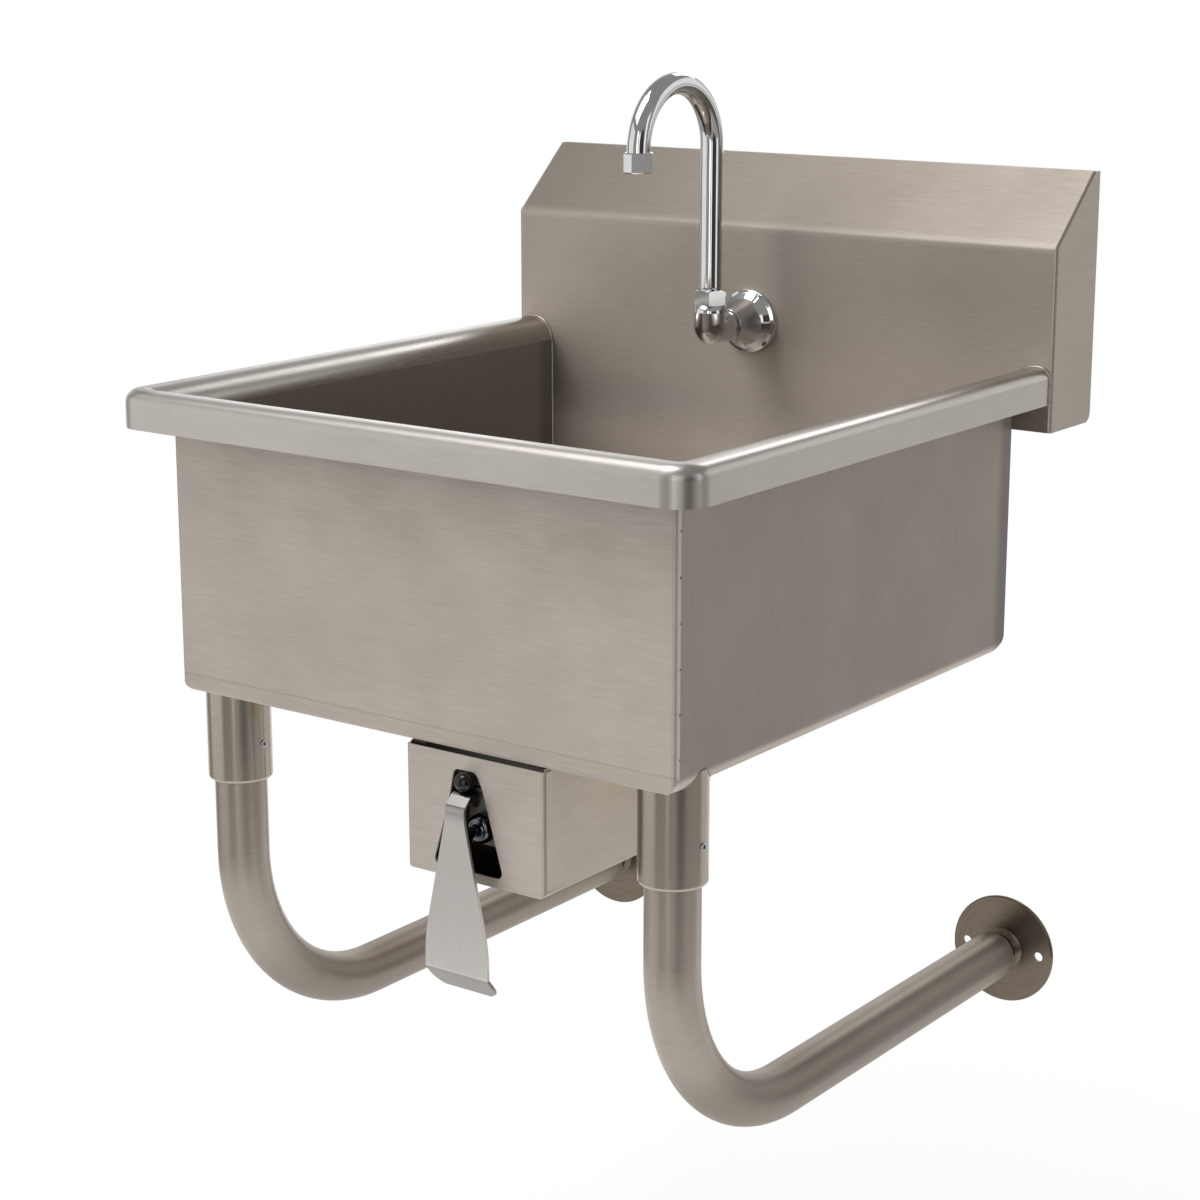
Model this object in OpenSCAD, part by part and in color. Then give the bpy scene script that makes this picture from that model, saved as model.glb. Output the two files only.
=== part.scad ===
// Wall-hung stainless hand sink with a knee-operated valve and a gooseneck tap.
// Millimetres. X runs to the right of someone facing the sink, Y runs towards the wall, Z is up.
// The wall is the plane Y = 0, and the origin is midway between the two wall hanger holes.

/* [Sheet metal] */
// Thickness of the stainless sheet
sheet_t = 1.5; // [1.2:0.1:2]
// Outer radius of the tight sheet bends
bend_r = 3; // [2.5:0.5:4]

/* [Rim] */
// Overall width over the rolled rim
rim_w = 530; // [480:5:600]
// Depth from the backsplash face to the front of the rim
rim_depth = 508; // [460:4:560]
// Height of the rolled rim
rim_h = 29; // [24:1:34]
// Radius of the outer edge of the rim
rim_outer_r = 10; // [7:1:11]
// Width of the flat on top of the rim
rim_flat = 4; // [2:1:6]
// Radius of the inner edge of the rim
rim_inner_r = 19.5; // [17:0.5:22]
// Radius of the front corners of the rim, seen from above
rim_corner_r = 24; // [20:1:28]

/* [Bowl] */
// Height from the underside of the bowl to the top of the rim
bowl_h = 238; // [200:2:270]
// Radius of the lower side edges of the bowl
bowl_side_r = 12; // [6:1:18]
// Radius of the lower front edge of the bowl
bowl_front_r = 5; // [4:1:8]
// Radius of the lower rear edge of the bowl
bowl_rear_r = 25; // [10:1:30]
// Radius of the upright edges of the bowl
bowl_plan_r = 3; // [2.5:0.5:6]
// Depth of the front panel up to its weld
front_return = 6; // [5:1:14]

/* [Backsplash] */
// Depth from the wall to the backsplash face
splash_depth = 70; // [62:2:90]
// How far the backsplash stands out past the rim on each side
splash_over = 2; // [0:1:10]
// How far the backsplash runs down below the top of the rim
splash_drop = 52; // [40:1:60]
// Height of the fold above the top of the rim
splash_fold = 95; // [80:1:110]
// Height of the backsplash above the top of the rim
splash_rise = 151; // [140:1:170]
// Depth of the ledge along the top
splash_ledge = 8; // [7:0.5:12]
// Radius of the lower rear corners of the end plates
splash_corner_r = 8; // [4:1:14]

/* [Wall hanger] */
// Height of the hanger holes above the top of the rim
rim_drop = 105; // [100:1:112]
// How far the hanger strip reaches past its holes at either end
hanger_end = 16.8; // [10:0.2:30]
// Thickness of the hanger strip
hanger_t = 2; // [1.5:0.5:2.5]
// Distance between the two hanger holes, one stud spacing
hanger_spacing = 406.4; // [300:0.1:406.4]
// Radius of the hanger holes
hanger_hole_r = 4.5; // [3:0.5:5]
// How far the hanger strip reaches below its holes
hanger_foot = 20; // [14:1:24]

/* [Drain] */
// Distance from the backsplash face to the drain centre
drain_from_splash = 238; // [200:2:260]
// Outer radius of the strainer cup
cup_r = 43; // [40:1:46]
// Depth of the strainer cup below the bowl floor
cup_depth = 44; // [38:1:50]
// Wall of the strainer cup
cup_wall = 2; // [1.5:0.5:3]
// Width of the cup's flange past the cup
cup_flange = 14; // [8:1:16]
// Outer radius of the threaded drain outlet
outlet_r = 22; // [20:0.5:24]
// Outer radius of the tailpiece
tail_r = 19.05; // [15:0.05:20]
// Length of the tailpiece below the outlet
tail_len = 56; // [40:1:60]

/* [Legs] */
// Distance from the side of the bowl to the leg centre
leg_inset = 25; // [22:1:43]
// Distance from the front of the bowl to the leg centre
leg_setback = 35; // [30:1:60]
// Outer radius of the leg tube
leg_r = 20.65; // [19:0.05:22]
// Wall of the leg tube
leg_wall = 1.6; // [1.2:0.1:2]
// Centre-line radius of the leg bend
leg_bend_r = 150; // [110:5:180]
// Height of the bowl underside above the centre of the lower run
leg_drop = 286; // [260:2:320]
// Gap between the end of the leg and the wall
leg_gap = 22; // [21:1:40]
// Outer radius of the leg socket
socket_r = 25.4; // [24:0.1:28]
// Length of the leg socket
socket_len = 75; // [60:1:90]
// Radius of the set screws
screw_r = 3; // [2.5:0.5:4]

/* [Wall flanges] */
// Radius of the flange disc
flange_r = 47.5; // [44:0.5:55]
// Thickness of the flange disc
flange_t = 3; // [2:0.5:5]
// Outer radius of the flange's stub
stub_r = 14.5; // [11:0.5:16]
// Distance between the two holes of a flange
flange_spacing = 69; // [60:1:76]
// Radius of the flange holes
flange_hole_r = 4.25; // [3:0.25:5]

/* [Valve box] */
// Width of the valve box
box_w = 127; // [115:1:140]
// Height of the valve box
box_h = 98; // [94:1:110]
// Clearance between the valve box and the drain flange
box_clear = 5; // [3:1:12]
// Distance from the middle of the sink to the left side of the box
box_left = -6; // [-20:1:0]
// Gap between the bowl and the top of the front plate
box_gap = 3; // [2:0.5:5]
// Depth of the front plate's side returns
box_return = 10; // [6:1:14]

/* [Knee pedal] */
// Distance of the pedal from the middle of the sink
pedal_x = 51; // [48:1:54]
// Gap between the box front and the back of the pedal
pedal_gap = 12.75; // [12:0.25:15]
// Thickness of the pedal
pedal_t = 2.5; // [2:0.25:3]
// Width of the pedal at its neck
pedal_neck_w = 17.4; // [14:0.2:18]
// Width of the pedal at its widest
pedal_w = 58; // [50:1:70]
// Height of the pedal pivot above the pedal's lower bend
pedal_len = 140; // [130:1:150]
// Length of the bent-back lip
pedal_lip = 21; // [16:1:26]
// Angle of the bent-back lip
pedal_lip_angle = 40; // [20:5:50]
// Radius of the pedal pin
pin_r = 3; // [2.5:0.25:3.5]

/* [Valve] */
// Height of the pedal pivot above the valve stem
stem_drop = 37; // [34:0.5:40]
// Radius of the valve stem
stem_r = 4; // [3:0.5:5]
// Radius of the stem's head
stem_head_r = 5.5; // [4.5:0.5:7]
// Radius of the valve bonnet
bonnet_r = 11; // [10:0.5:12]
// Outer radius of the supply nipples, half inch pipe thread
nipple_r = 10.3; // [9:0.1:11]
// Distance between the hot and the cold nipple
nipple_spacing = 44; // [40:1:50]

/* [Tap] */
// Distance of the tap from the middle of the sink
tap_x = -20; // [-40:1:0]
// Height of the tap hole above the top of the rim
tap_rise = 15; // [10:1:30]
// Distance from the backsplash face to the riser
tap_reach = 60; // [52:1:80]
// Height of the straight riser above the tap hole
riser_h = 152; // [120:2:200]
// Centre-line radius of the gooseneck
goose_r = 52; // [45:1:60]
// Outer radius of the gooseneck tube
goose_tube_r = 9.5; // [8:0.25:10]
// Wall of the gooseneck tube
goose_wall = 1.2; // [1:0.1:1.5]
// Radius of the tap flange
tap_flange_r = 27; // [25:1:32]
// Outer radius of the tap shank, half inch pipe thread
shank_r = 10.5; // [9:0.1:10.5]
// Outer radius of the tap elbow
elbow_r = 13.5; // [12.5:0.25:15]
// Outer radius of the aerator
aerator_r = 12; // [11.5:0.25:13]
// Height of the aerator
aerator_h = 16; // [12:0.5:20]

/* [Hidden] */
$fn = 72;

// Overrun of every cut, so that no cut ends flush with a face
over = 1;
// Radial play of a running fit
running = 0.05;
// Play between still pieces that slide together
play = 0.3;
// Clearance by which the drawing of the fold stands off the sloping face that cuts it
fold_slack = 0.02;

// Main planes
rim_z = -rim_drop;
face_y = -splash_depth;
front_y = face_y - rim_depth;
roll_w = rim_outer_r + rim_flat + rim_inner_r;
rim_hw = rim_w / 2;
bowl_hw = rim_hw - roll_w + sheet_t;
bowl_front_y = front_y + roll_w - sheet_t;
bowl_back_y = face_y + sheet_t;
bowl_top_z = rim_z - rim_inner_r;
bowl_low_z = rim_z - bowl_h;
floor_z = bowl_low_z + sheet_t;
seam_y = bowl_front_y + front_return;

// Backsplash
splash_hw = rim_hw + splash_over;
splash_low_z = rim_z - splash_drop;
fold_z = rim_z + splash_fold;
splash_top_z = rim_z + splash_rise;
slant_run = splash_depth - splash_ledge;
slant_angle = atan2(splash_top_z - fold_z, slant_run);
hook_gap = 0.3;
hook_len = 14;
hook_side = 14;

// Wall hanger
hanger_w = hanger_spacing + 2 * hanger_end;
hanger_joggle = 4;
hanger_joggle_z = 22;
hanger_joggle_h = 6;
hanger_bend_steps = 6;

// Drain
drain_y = face_y - drain_from_splash;
cup_lip_t = 2;
cup_ledge = 3;
cup_ledge_drop = 2.5;
cup_hole_play = 0.5;
gasket_t = 3;
gasket_inset = 1;
locknut_t = 8;
locknut_w = 10;
locknut_lugs = 6;
locknut_lug_w = 8;
locknut_lug_out = 3;
outlet_len = 18;
outlet_wall = 3;
outlet_bore_r = outlet_r - outlet_wall;
tail_wall = 1.25;
tail_flange_t = 2;
tail_step = 0.2;
slip_nut_wall = 5;
slip_nut_up = 12;
slip_nut_down = 8;
basket_t = 1.5;
basket_body_in = 3;
basket_h = 34;
basket_holes_shares = [[0.42, 8], [0.72, 14]];
basket_hole_r = 2.6;
knob_r = 9;
knob_h = 8;
knob_post_r = 3.5;
knob_top_drop = 6;

// Legs
leg_x = bowl_hw - leg_inset;
leg_y = bowl_front_y + leg_setback;
run_z = bowl_low_z - leg_drop;
leg_end_y = -leg_gap;
socket_cap_t = 3;
socket_round = 3;
leg_play = 0.3;
insert_len = 22;
insert_lip = 2;
stub_len = 48;
weld_w = 4;
flange_edge_r = 1;
screw_share = 0.59;
screw_z = bowl_low_z - screw_share * socket_len;
screw_out = 1;
screw_hex_r = 1.75;
screw_hex_depth = 2.5;

// Valve box
box_right = box_left + box_w;
box_low_z = bowl_low_z - box_h;
box_front_y = bowl_front_y;
box_rear_y = drain_y - cup_r - cup_flange - box_clear;
box_flange = 15;
box_corner_r = 5;
// The slot narrows upwards: its corners in order from the lower left, from the pedal's centre
// line and from the top of the box
slot_top = 14;
slot_low = 91;
slot_top_left = 12;
slot_top_right = 8;
slot_knee_right = 14;
slot_knee_drop = 25.5;
slot_low_w = 33;
slot_knee_left = 18;
slot_knee_left_drop = 42;
slot_r = 5;

// Knee pedal
pivot_back = 21;
pivot_down = 25;
pedal_back_y = box_front_y - pedal_gap;
pivot_y = box_front_y + pivot_back;
pivot_z = bowl_low_z - pivot_down;
barrel_r = 6;
arm_drop = 7;
arm_z = pivot_z - arm_drop;
pedal_low_z = pivot_z - pedal_len;
neck_bend_r = 4;
pedal_bend_steps = 8;
neck_slope = 7.75;
neck_hold = 8;
pedal_corner_r = 12;
pedal_hip_r = 150;
pedal_hip_up = 23;
pedal_neck_r = 60;
pin_head_r = 4.5;
pin_head_t = 1.5;

// Pivot bracket: two ears on a plate held by the bonnet
ear_play = 0.6;
ear_t = 2.5;
ear_up = 10;
ear_down = 24;
ear_front = 16;
ear_nose = 14;
bracket_back = 23.5;
bracket_y = box_front_y + bracket_back;
bracket_t = 2.5;
bracket_plate_w = 34;
bracket_plate_h = 42;
bracket_plate_top = 10;
bar_depth = 6;
bar_h = 10;
bumper_r = 7.5;
bumper_ahead = 24;
bumper_y = pivot_y - bumper_ahead;
bumper_z = arm_z + pedal_t + play + bumper_r;
bumper_stud_r = 2.5;

// Valve
valve_z = pivot_z - stem_drop;
body_front_y = bracket_y + bracket_t;
body_r = 15;
body_len = 40;
bonnet_len = 13;
bonnet_nose = 10.5;
bonnet_front_y = bracket_y - bonnet_nose;
bonnet_thread_r = 9;
bonnet_thread_len = 19.2;
bonnet_edge = 2;
chamber_len = 32;
stem_tip_gap = 0.3;
stem_dome_r = 8;
stem_head_len = 13;
collar_r = 7;
collar_t = 3;
seal_w = 1.6;
seal_len = 2.4;
seal_in = 3;
manifold_w = 76;
manifold_h = 40;
manifold_depth = 30;
manifold_r = 6;
foot_w = 26;
foot_depth = 24;
nipple_down = 8;
nipple_z = valve_z - nipple_down;
nipple_len = 28;
nipple_sink = 12;
nipple_wall = 2.8;
nipple_bore_r = nipple_r - nipple_wall;
nipple_hex_r = 13;
nipple_hex_t = 6;
outlet_pipe_r = 7.9;
outlet_pipe_up = 8;
outlet_pipe_z = valve_z + outlet_pipe_up;
valve_screw_r = 2.5;
valve_screw_head_r = 4.5;
valve_screw_head_t = 3;
valve_screw_pitch = 16;

// Tap
tap_z = rim_z + tap_rise;
riser_y = face_y - tap_reach;
elbow_bend_r = 14;
elbow_bore_r = 7;
elbow_step_r = 1.8;
elbow_step_w = 4;
elbow_rise = 20;
elbow_top_z = tap_z + elbow_rise;
elbow_thread_r = 11.8;
elbow_thread_h = 8;
goose_seat = 4;
nut_r = 15;
nut_h = 13;
nut_chamfer = 2;
tap_flange_h = 12;
tap_flange_edge = 3;
tap_hole_play = 0.7;
shank_bore_r = 6.5;
shank_front = 12;
shank_rear = 45;
shank_end_cut = 0.2;
shank_washer_r = 20;
shank_washer_t = 2;
shank_nut_r = 18;
shank_nut_t = 6;
goose_z = tap_z + riser_h;
outlet_y = riser_y - 2 * goose_r;
goose_end = 8;
aerator_band = 4;
aerator_band_out = 0.6;
aerator_insert_t = 6;
aerator_ring_w = 2;
aerator_holes = 8;
aerator_hole_r = 1.4;

steel = [0.72, 0.71, 0.68];
steel_dark = [0.62, 0.61, 0.59];
chrome = [0.82, 0.83, 0.85];
brass = [0.78, 0.62, 0.32];
rubber = [0.08, 0.08, 0.09];

// Plane geometry
function unit(v) = v / norm(v);
function half_angle(a, b, c) = acos(unit(a - b) * unit(c - b)) / 2;
function tangent_len(a, b, c, r) = r / tan(half_angle(a, b, c));
function fillet_centre(a, b, c, r) =
    b + unit(unit(a - b) + unit(c - b)) * r / sin(half_angle(a, b, c));
function turn(a, b, c) =
    let (p = b - a, q = c - b) atan2(p[0] * q[1] - p[1] * q[0], p * q);

function left_of(a, b) = let (u = unit(b - a)) [-u[1], u[0]];

// Points of the arc that rounds the corner b between a and c with radius r, set off by t to its left
function fillet(a, b, c, r, t = 0, steps = 8) =
    let (
        m = fillet_centre(a, b, c, r),
        p = b + unit(a - b) * tangent_len(a, b, c, r) - m,
        sweep = turn(a, b, c),
        s = sweep > 0 ? r - t : r + t
    )
    [for (k = [0 : steps])
        m + s * [cos(atan2(p[1], p[0]) + sweep * k / steps), sin(atan2(p[1], p[0]) + sweep * k / steps)]];

// Polygon whose corner i has the radius radii[i], as short straight steps
module outline(points, radii) {
    n = len(points);
    polygon([for (i = [0 : n - 1])
        for (p = radii[i] > 0
            ? fillet(points[(i + n - 1) % n], points[i], points[(i + 1) % n], radii[i])
            : [points[i]])
        p]);
}

// Convex polygon whose corner i has the radius radii[i], as true arcs
module rounded(points, radii) {
    n = len(points);
    polygon([for (i = [0 : n - 1])
        let (a = points[(i + n - 1) % n], b = points[i], c = points[(i + 1) % n])
        for (v = radii[i] > 0
            ? [b + unit(a - b) * tangent_len(a, b, c, radii[i]),
               b + unit(c - b) * tangent_len(a, b, c, radii[i])]
            : [b])
        v]);
    for (i = [0 : n - 1])
        if (radii[i] > 0)
            translate(fillet_centre(points[(i + n - 1) % n], points[i], points[(i + 1) % n], radii[i]))
                circle(radii[i]);
}

// Sheet of thickness t on the left of the path, with square bends of radius r on the path's side
module ribbon(path, t, r) {
    last = len(path) - 1;
    for (i = [0 : last - 1]) {
        a = path[i];
        b = path[i + 1];
        start = i == 0 ? 0 : r * tan(abs(turn(path[i - 1], a, b)) / 2);
        end = i == last - 1 ? 0 : r * tan(abs(turn(a, b, path[i + 2])) / 2);
        translate(a)
            rotate(atan2(b[1] - a[1], b[0] - a[0]))
                translate([start, 0])
                    square([norm(b - a) - start - end, t]);
    }
    for (i = [1 : last - 1])
        ribbon_bend(path[i - 1], path[i], path[i + 1], t, r);
}

module ribbon_bend(a, b, c, t, r) {
    sweep = turn(a, b, c);
    m = fillet_centre(a, b, c, r);
    from = b + unit(a - b) * tangent_len(a, b, c, r) - m;
    reach = 2 * (r + t);
    start = atan2(from[1], from[0]);
    translate(m)
        intersection() {
            difference() {
                circle(sweep > 0 ? r : r + t);
                circle(sweep > 0 ? r - t : r);
            }
            polygon([
                [0, 0],
                reach * [cos(start), sin(start)],
                reach * [cos(start + sweep / 2), sin(start + sweep / 2)],
                reach * [cos(start + sweep), sin(start + sweep)]
            ]);
        }
}

// Bent sheet as above, with bends of any angle drawn as short straight steps
module strip(path, t, r, steps) {
    last = len(path) - 1;
    inner = [for (i = [1 : last - 1])
        each fillet(path[i - 1], path[i], path[i + 1], r, 0, steps)];
    outer = [for (i = [1 : last - 1])
        each fillet(path[i - 1], path[i], path[i + 1], r, t, steps)];
    polygon(concat(
        [path[0]],
        inner,
        [path[last], path[last] + t * left_of(path[last - 1], path[last])],
        [for (i = [len(outer) - 1 : -1 : 0]) outer[i]],
        [path[0] + t * left_of(path[0], path[1])]
    ));
}

module ring(outer, inner) {
    difference() {
        circle(outer);
        circle(inner);
    }
}

// Sets a drawing in Y and Z upright and extrudes it along X from x0 to x1
module along_x(x0, x1) {
    translate([x0, 0, 0])
        rotate([90, 0, 90])
            linear_extrude(x1 - x0)
                children();
}

// Sets a drawing in X and Z upright and extrudes it along Y from y0 to y1
module along_y(y0, y1) {
    translate([0, y1, 0])
        rotate([90, 0, 0])
            linear_extrude(y1 - y0)
                children();
}

// Puts a piece turned about Z on a level axis through x and z, with its height along Y from y
module turned_y(x, y, z) {
    translate([x, y, z])
        rotate([-90, 0, 0])
            children();
}

module tube(outer, inner, h) {
    linear_extrude(h)
        ring(outer, inner);
}

module hexagon_bar(r, h, chamfer) {
    intersection() {
        cylinder(r = r, h = h, $fn = 6);
        rotate_extrude()
            polygon([
                [0, 0], [r - chamfer, 0], [r, chamfer / 2], [r, h - chamfer / 2], [r - chamfer, h], [0, h]
            ]);
    }
}

// Rolled rim
module rim_quarter(r) {
    intersection() {
        ring(r, r - sheet_t);
        square(r + over);
    }
}

// Section of the rim: x runs inwards from its outer face, y up to its top
module rim_section() {
    translate([0, -rim_h])
        square([sheet_t, rim_h - rim_outer_r]);
    translate([rim_outer_r, -rim_outer_r])
        mirror([1, 0])
            rim_quarter(rim_outer_r);
    translate([rim_outer_r, -sheet_t])
        square([rim_flat, sheet_t]);
    translate([rim_outer_r + rim_flat, -rim_inner_r])
        rim_quarter(rim_inner_r);
}

// The next three are drawn from the outer front corner of the rim's top
module rim_side() {
    k = roll_w + over;
    intersection() {
        translate([0, rim_depth, 0])
            rotate([90, 0, 0])
                linear_extrude(rim_depth)
                    mirror([1, 0])
                        rim_section();
        translate([0, 0, -rim_h - over])
            linear_extrude(rim_h + 2 * over)
                polygon([
                    [over, rim_corner_r],
                    [over, rim_depth],
                    [-k, rim_depth],
                    [-k, k],
                    [-rim_corner_r, rim_corner_r]
                ]);
    }
}

// Half of the front, a little past the middle of the sink
module rim_front() {
    k = roll_w + over;
    intersection() {
        translate([-rim_hw - 2 * over, 0, 0])
            rotate([90, 0, 90])
                linear_extrude(rim_hw + over)
                    rim_section();
        translate([0, 0, -rim_h - over])
            linear_extrude(rim_h + 2 * over)
                polygon([
                    [-rim_hw - over, -over],
                    [-rim_corner_r, -over],
                    [-rim_corner_r, rim_corner_r],
                    [-k, k],
                    [-rim_hw - over, k]
                ]);
    }
}

module rim_corner() {
    translate([-rim_corner_r, rim_corner_r, 0])
        rotate(-90)
            rotate_extrude(angle = 90)
                intersection() {
                    translate([rim_corner_r, 0])
                        mirror([1, 0])
                            rim_section();
                    translate([0, -rim_h - over])
                        square([rim_corner_r + over, rim_h + 2 * over]);
                }
}

module rolled_rim() {
    color(steel)
        for (side = [0, 1])
            mirror([side, 0, 0])
                translate([rim_hw, front_y, rim_z]) {
                    rim_front();
                    rim_side();
                    rim_corner();
                }
}

// Bowl
// Body of the bowl, drawn in by i on all sides but its open top
module bowl_block(i) {
    top = bowl_top_z + (i > 0 ? over : 0);
    low = bowl_low_z + i;
    hw = bowl_hw - i;
    y0 = bowl_front_y + i;
    y1 = bowl_back_y - i;
    plan_r = bowl_plan_r - i;
    intersection() {
        along_y(y0, y1)
            rounded([[-hw, low], [hw, low], [hw, top], [-hw, top]],
                [bowl_side_r - i, bowl_side_r - i, 0, 0]);
        along_x(-hw, hw)
            rounded([[y0, low], [y1, low], [y1, top], [y0, top]],
                [bowl_front_r - i, bowl_rear_r - i, 0, 0]);
        translate([0, 0, low])
            linear_extrude(top - low)
                rounded([[-hw, y0], [hw, y0], [hw, y1], [-hw, y1]], [plan_r, plan_r, plan_r, plan_r]);
    }
}

module bowl_shell() {
    difference() {
        bowl_block(0);
        bowl_block(sheet_t);
    }
}

// Slab across the bowl between two values of Y
module bowl_slab(y0, y1, z0, z1) {
    translate([-bowl_hw - over, y0, z0])
        cube([2 * (bowl_hw + over), y1 - y0, z1 - z0]);
}

module bowl_front() {
    color(steel)
        intersection() {
            bowl_shell();
            bowl_slab(bowl_front_y - over, seam_y, bowl_low_z - over, bowl_top_z + over);
        }
}

module bowl_wrap() {
    color(steel)
        difference() {
            bowl_shell();
            bowl_slab(bowl_front_y - over, seam_y, bowl_low_z - over, bowl_top_z + over);
            bowl_slab(face_y, bowl_back_y + over, splash_low_z, bowl_top_z + over);
            translate([0, drain_y, bowl_low_z - over])
                cylinder(r = cup_r + cup_hole_play, h = sheet_t + 2 * over);
        }
}

// Backsplash
// Closed body of the backsplash, drawn in by i on its front, top and ends
module splash_block(i) {
    ext = i > 0 ? over : 0;
    hw = splash_hw - i;
    y0 = face_y + i;
    low = splash_low_z - ext;
    top = splash_top_z - i;
    corner_r = bend_r - i;
    deep = splash_depth + splash_rise;
    slack = (i - fold_slack) / cos(slant_angle);
    fold = fold_z + i * tan(slant_angle) - slack;
    ledge_y = face_y + (top - fold_z + slack) / tan(slant_angle);
    intersection() {
        along_x(-hw, hw)
            rounded([[y0, low], [ext, low], [ext, top], [ledge_y, top], [y0, fold]],
                [0, 0, 0, 0, corner_r]);
        translate([0, 0, low])
            linear_extrude(top - low)
                rounded([[-hw, y0], [hw, y0], [hw, ext], [-hw, ext]], [corner_r, corner_r, 0, 0]);
        translate([0, face_y, fold_z])
            rotate([slant_angle, 0, 0])
                along_y(-deep, deep)
                    rounded([[-hw, -deep], [hw, -deep], [hw, -i], [-hw, -i]], [0, 0, corner_r, corner_r]);
    }
}

module splash_shell() {
    difference() {
        splash_block(0);
        splash_block(sheet_t);
    }
}

// Slab across the backsplash between two values of X
module splash_slab(x0, x1) {
    translate([x0, face_y - over, splash_low_z - over])
        cube([x1 - x0, splash_depth + 2 * over, splash_rise + splash_drop + 2 * over]);
}

module backsplash() {
    hw = splash_hw - bend_r;
    hook_hw = hw - hook_side;
    color(steel)
        difference() {
            union() {
                intersection() {
                    splash_shell();
                    splash_slab(-hw, hw);
                    translate([-splash_hw, face_y - over, splash_low_z])
                        cube([2 * splash_hw, splash_depth + over - hook_gap, splash_rise + splash_drop]);
                }
                translate([-hook_hw, -hook_gap - sheet_t, splash_top_z - hook_len])
                    cube([2 * hook_hw, sheet_t, hook_len]);
            }
            turned_y(tap_x, face_y - over, tap_z)
                cylinder(r = shank_r + tap_hole_play, h = sheet_t + 2 * over);
        }
}

module splash_end() {
    color(steel)
        intersection() {
            splash_shell();
            splash_slab(splash_hw - bend_r, splash_hw + over);
            along_x(0, splash_hw)
                rounded([
                    [face_y, splash_low_z], [0, splash_low_z], [0, splash_top_z], [face_y, splash_top_z]
                ], [0, splash_corner_r, 0, 0]);
        }
}

module splash_end_right() {
    splash_end();
}

module splash_end_left() {
    mirror([1, 0, 0])
        splash_end();
}

// Wall hanger: a strip whose upper edge stands off the wall and catches the hook
module wall_hanger() {
    color(steel_dark)
        difference() {
            along_x(-hanger_w / 2, hanger_w / 2)
                strip([
                    [0, -hanger_foot],
                    [0, hanger_joggle_z],
                    [-hanger_joggle, hanger_joggle_z + hanger_joggle_h],
                    [-hanger_joggle, splash_top_z - sheet_t]
                ], hanger_t, bend_r, hanger_bend_steps);
            for (x = [-1, 1])
                turned_y(x * hanger_spacing / 2, -hanger_t - over, 0)
                    cylinder(r = hanger_hole_r, h = hanger_t + 2 * over);
        }
}

// Drain
module at_drain(z) {
    translate([0, drain_y, z])
        children();
}

module drain_flange() {
    low = floor_z - cup_depth;
    inner = cup_r - cup_wall - cup_ledge;
    ledge = floor_z - cup_ledge_drop;
    color(chrome)
        at_drain(0)
            rotate_extrude()
                polygon([
                    [cup_r, floor_z],
                    [cup_r + cup_flange, floor_z],
                    [cup_r + cup_flange, floor_z + cup_lip_t / 2],
                    [cup_r + cup_flange - cup_lip_t, floor_z + cup_lip_t],
                    [cup_r, floor_z + cup_lip_t],
                    [inner + cup_ledge, floor_z],
                    [inner + cup_ledge, ledge],
                    [inner, ledge],
                    [inner, low + cup_wall],
                    [outlet_bore_r, low + cup_wall],
                    [outlet_bore_r, low - outlet_len],
                    [outlet_r, low - outlet_len],
                    [outlet_r, low],
                    [cup_r, low]
                ]);
}

module drain_gasket() {
    color(rubber)
        at_drain(bowl_low_z - gasket_t)
            tube(cup_r + cup_flange - gasket_inset, cup_r + play, gasket_t);
}

module drain_locknut() {
    outer = cup_r + locknut_w;
    color(brass)
        at_drain(bowl_low_z - gasket_t - locknut_t)
            difference() {
                union() {
                    cylinder(r = outer, h = locknut_t);
                    for (k = [0 : locknut_lugs - 1])
                        rotate(k * 360 / locknut_lugs)
                            translate([0, -locknut_lug_w / 2, 0])
                                cube([outer + locknut_lug_out, locknut_lug_w, locknut_t]);
                }
                translate([0, 0, -over])
                    cylinder(r = cup_r + running, h = locknut_t + 2 * over);
            }
}

// The basket stands on the ledge of the cup by its rim
module strainer_basket() {
    rim_r = cup_r - cup_wall - play;
    body_r = rim_r - cup_ledge - basket_body_in;
    seat = floor_z - cup_ledge_drop;
    low = seat - basket_h;
    knob_top = seat - knob_top_drop;
    color(chrome)
        at_drain(0)
            difference() {
                rotate_extrude()
                    polygon([
                        [0, low],
                        [body_r, low],
                        [body_r, seat],
                        [rim_r, seat],
                        [rim_r, seat + basket_t],
                        [body_r - basket_t, seat + basket_t],
                        [body_r - basket_t, low + basket_t],
                        [knob_post_r, low + basket_t],
                        [knob_post_r, knob_top - knob_h],
                        [knob_r - basket_t, knob_top - knob_h],
                        [knob_r, knob_top - knob_h + basket_t],
                        [knob_r, knob_top - basket_t],
                        [knob_r - basket_t, knob_top],
                        [0, knob_top]
                    ]);
                for (row = basket_holes_shares)
                    for (k = [0 : row[1] - 1])
                        rotate(k * 360 / row[1])
                            translate([row[0] * body_r, 0, low - over])
                                cylinder(r = basket_hole_r, h = basket_t + 2 * over, $fn = 24);
            }
}

// The flange at the top of the tailpiece is clamped between the outlet and the slip nut
module tailpiece() {
    top = floor_z - cup_depth - outlet_len;
    color(chrome)
        at_drain(top - tail_len)
            difference() {
                union() {
                    cylinder(r = tail_r, h = tail_len);
                    translate([0, 0, tail_len - slip_nut_down])
                        cylinder(r = tail_r + tail_step, h = slip_nut_down);
                    translate([0, 0, tail_len - tail_flange_t])
                        cylinder(r = outlet_r - play, h = tail_flange_t);
                }
                translate([0, 0, -over])
                    cylinder(r = tail_r - tail_wall, h = tail_len + 2 * over);
            }
}

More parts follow.
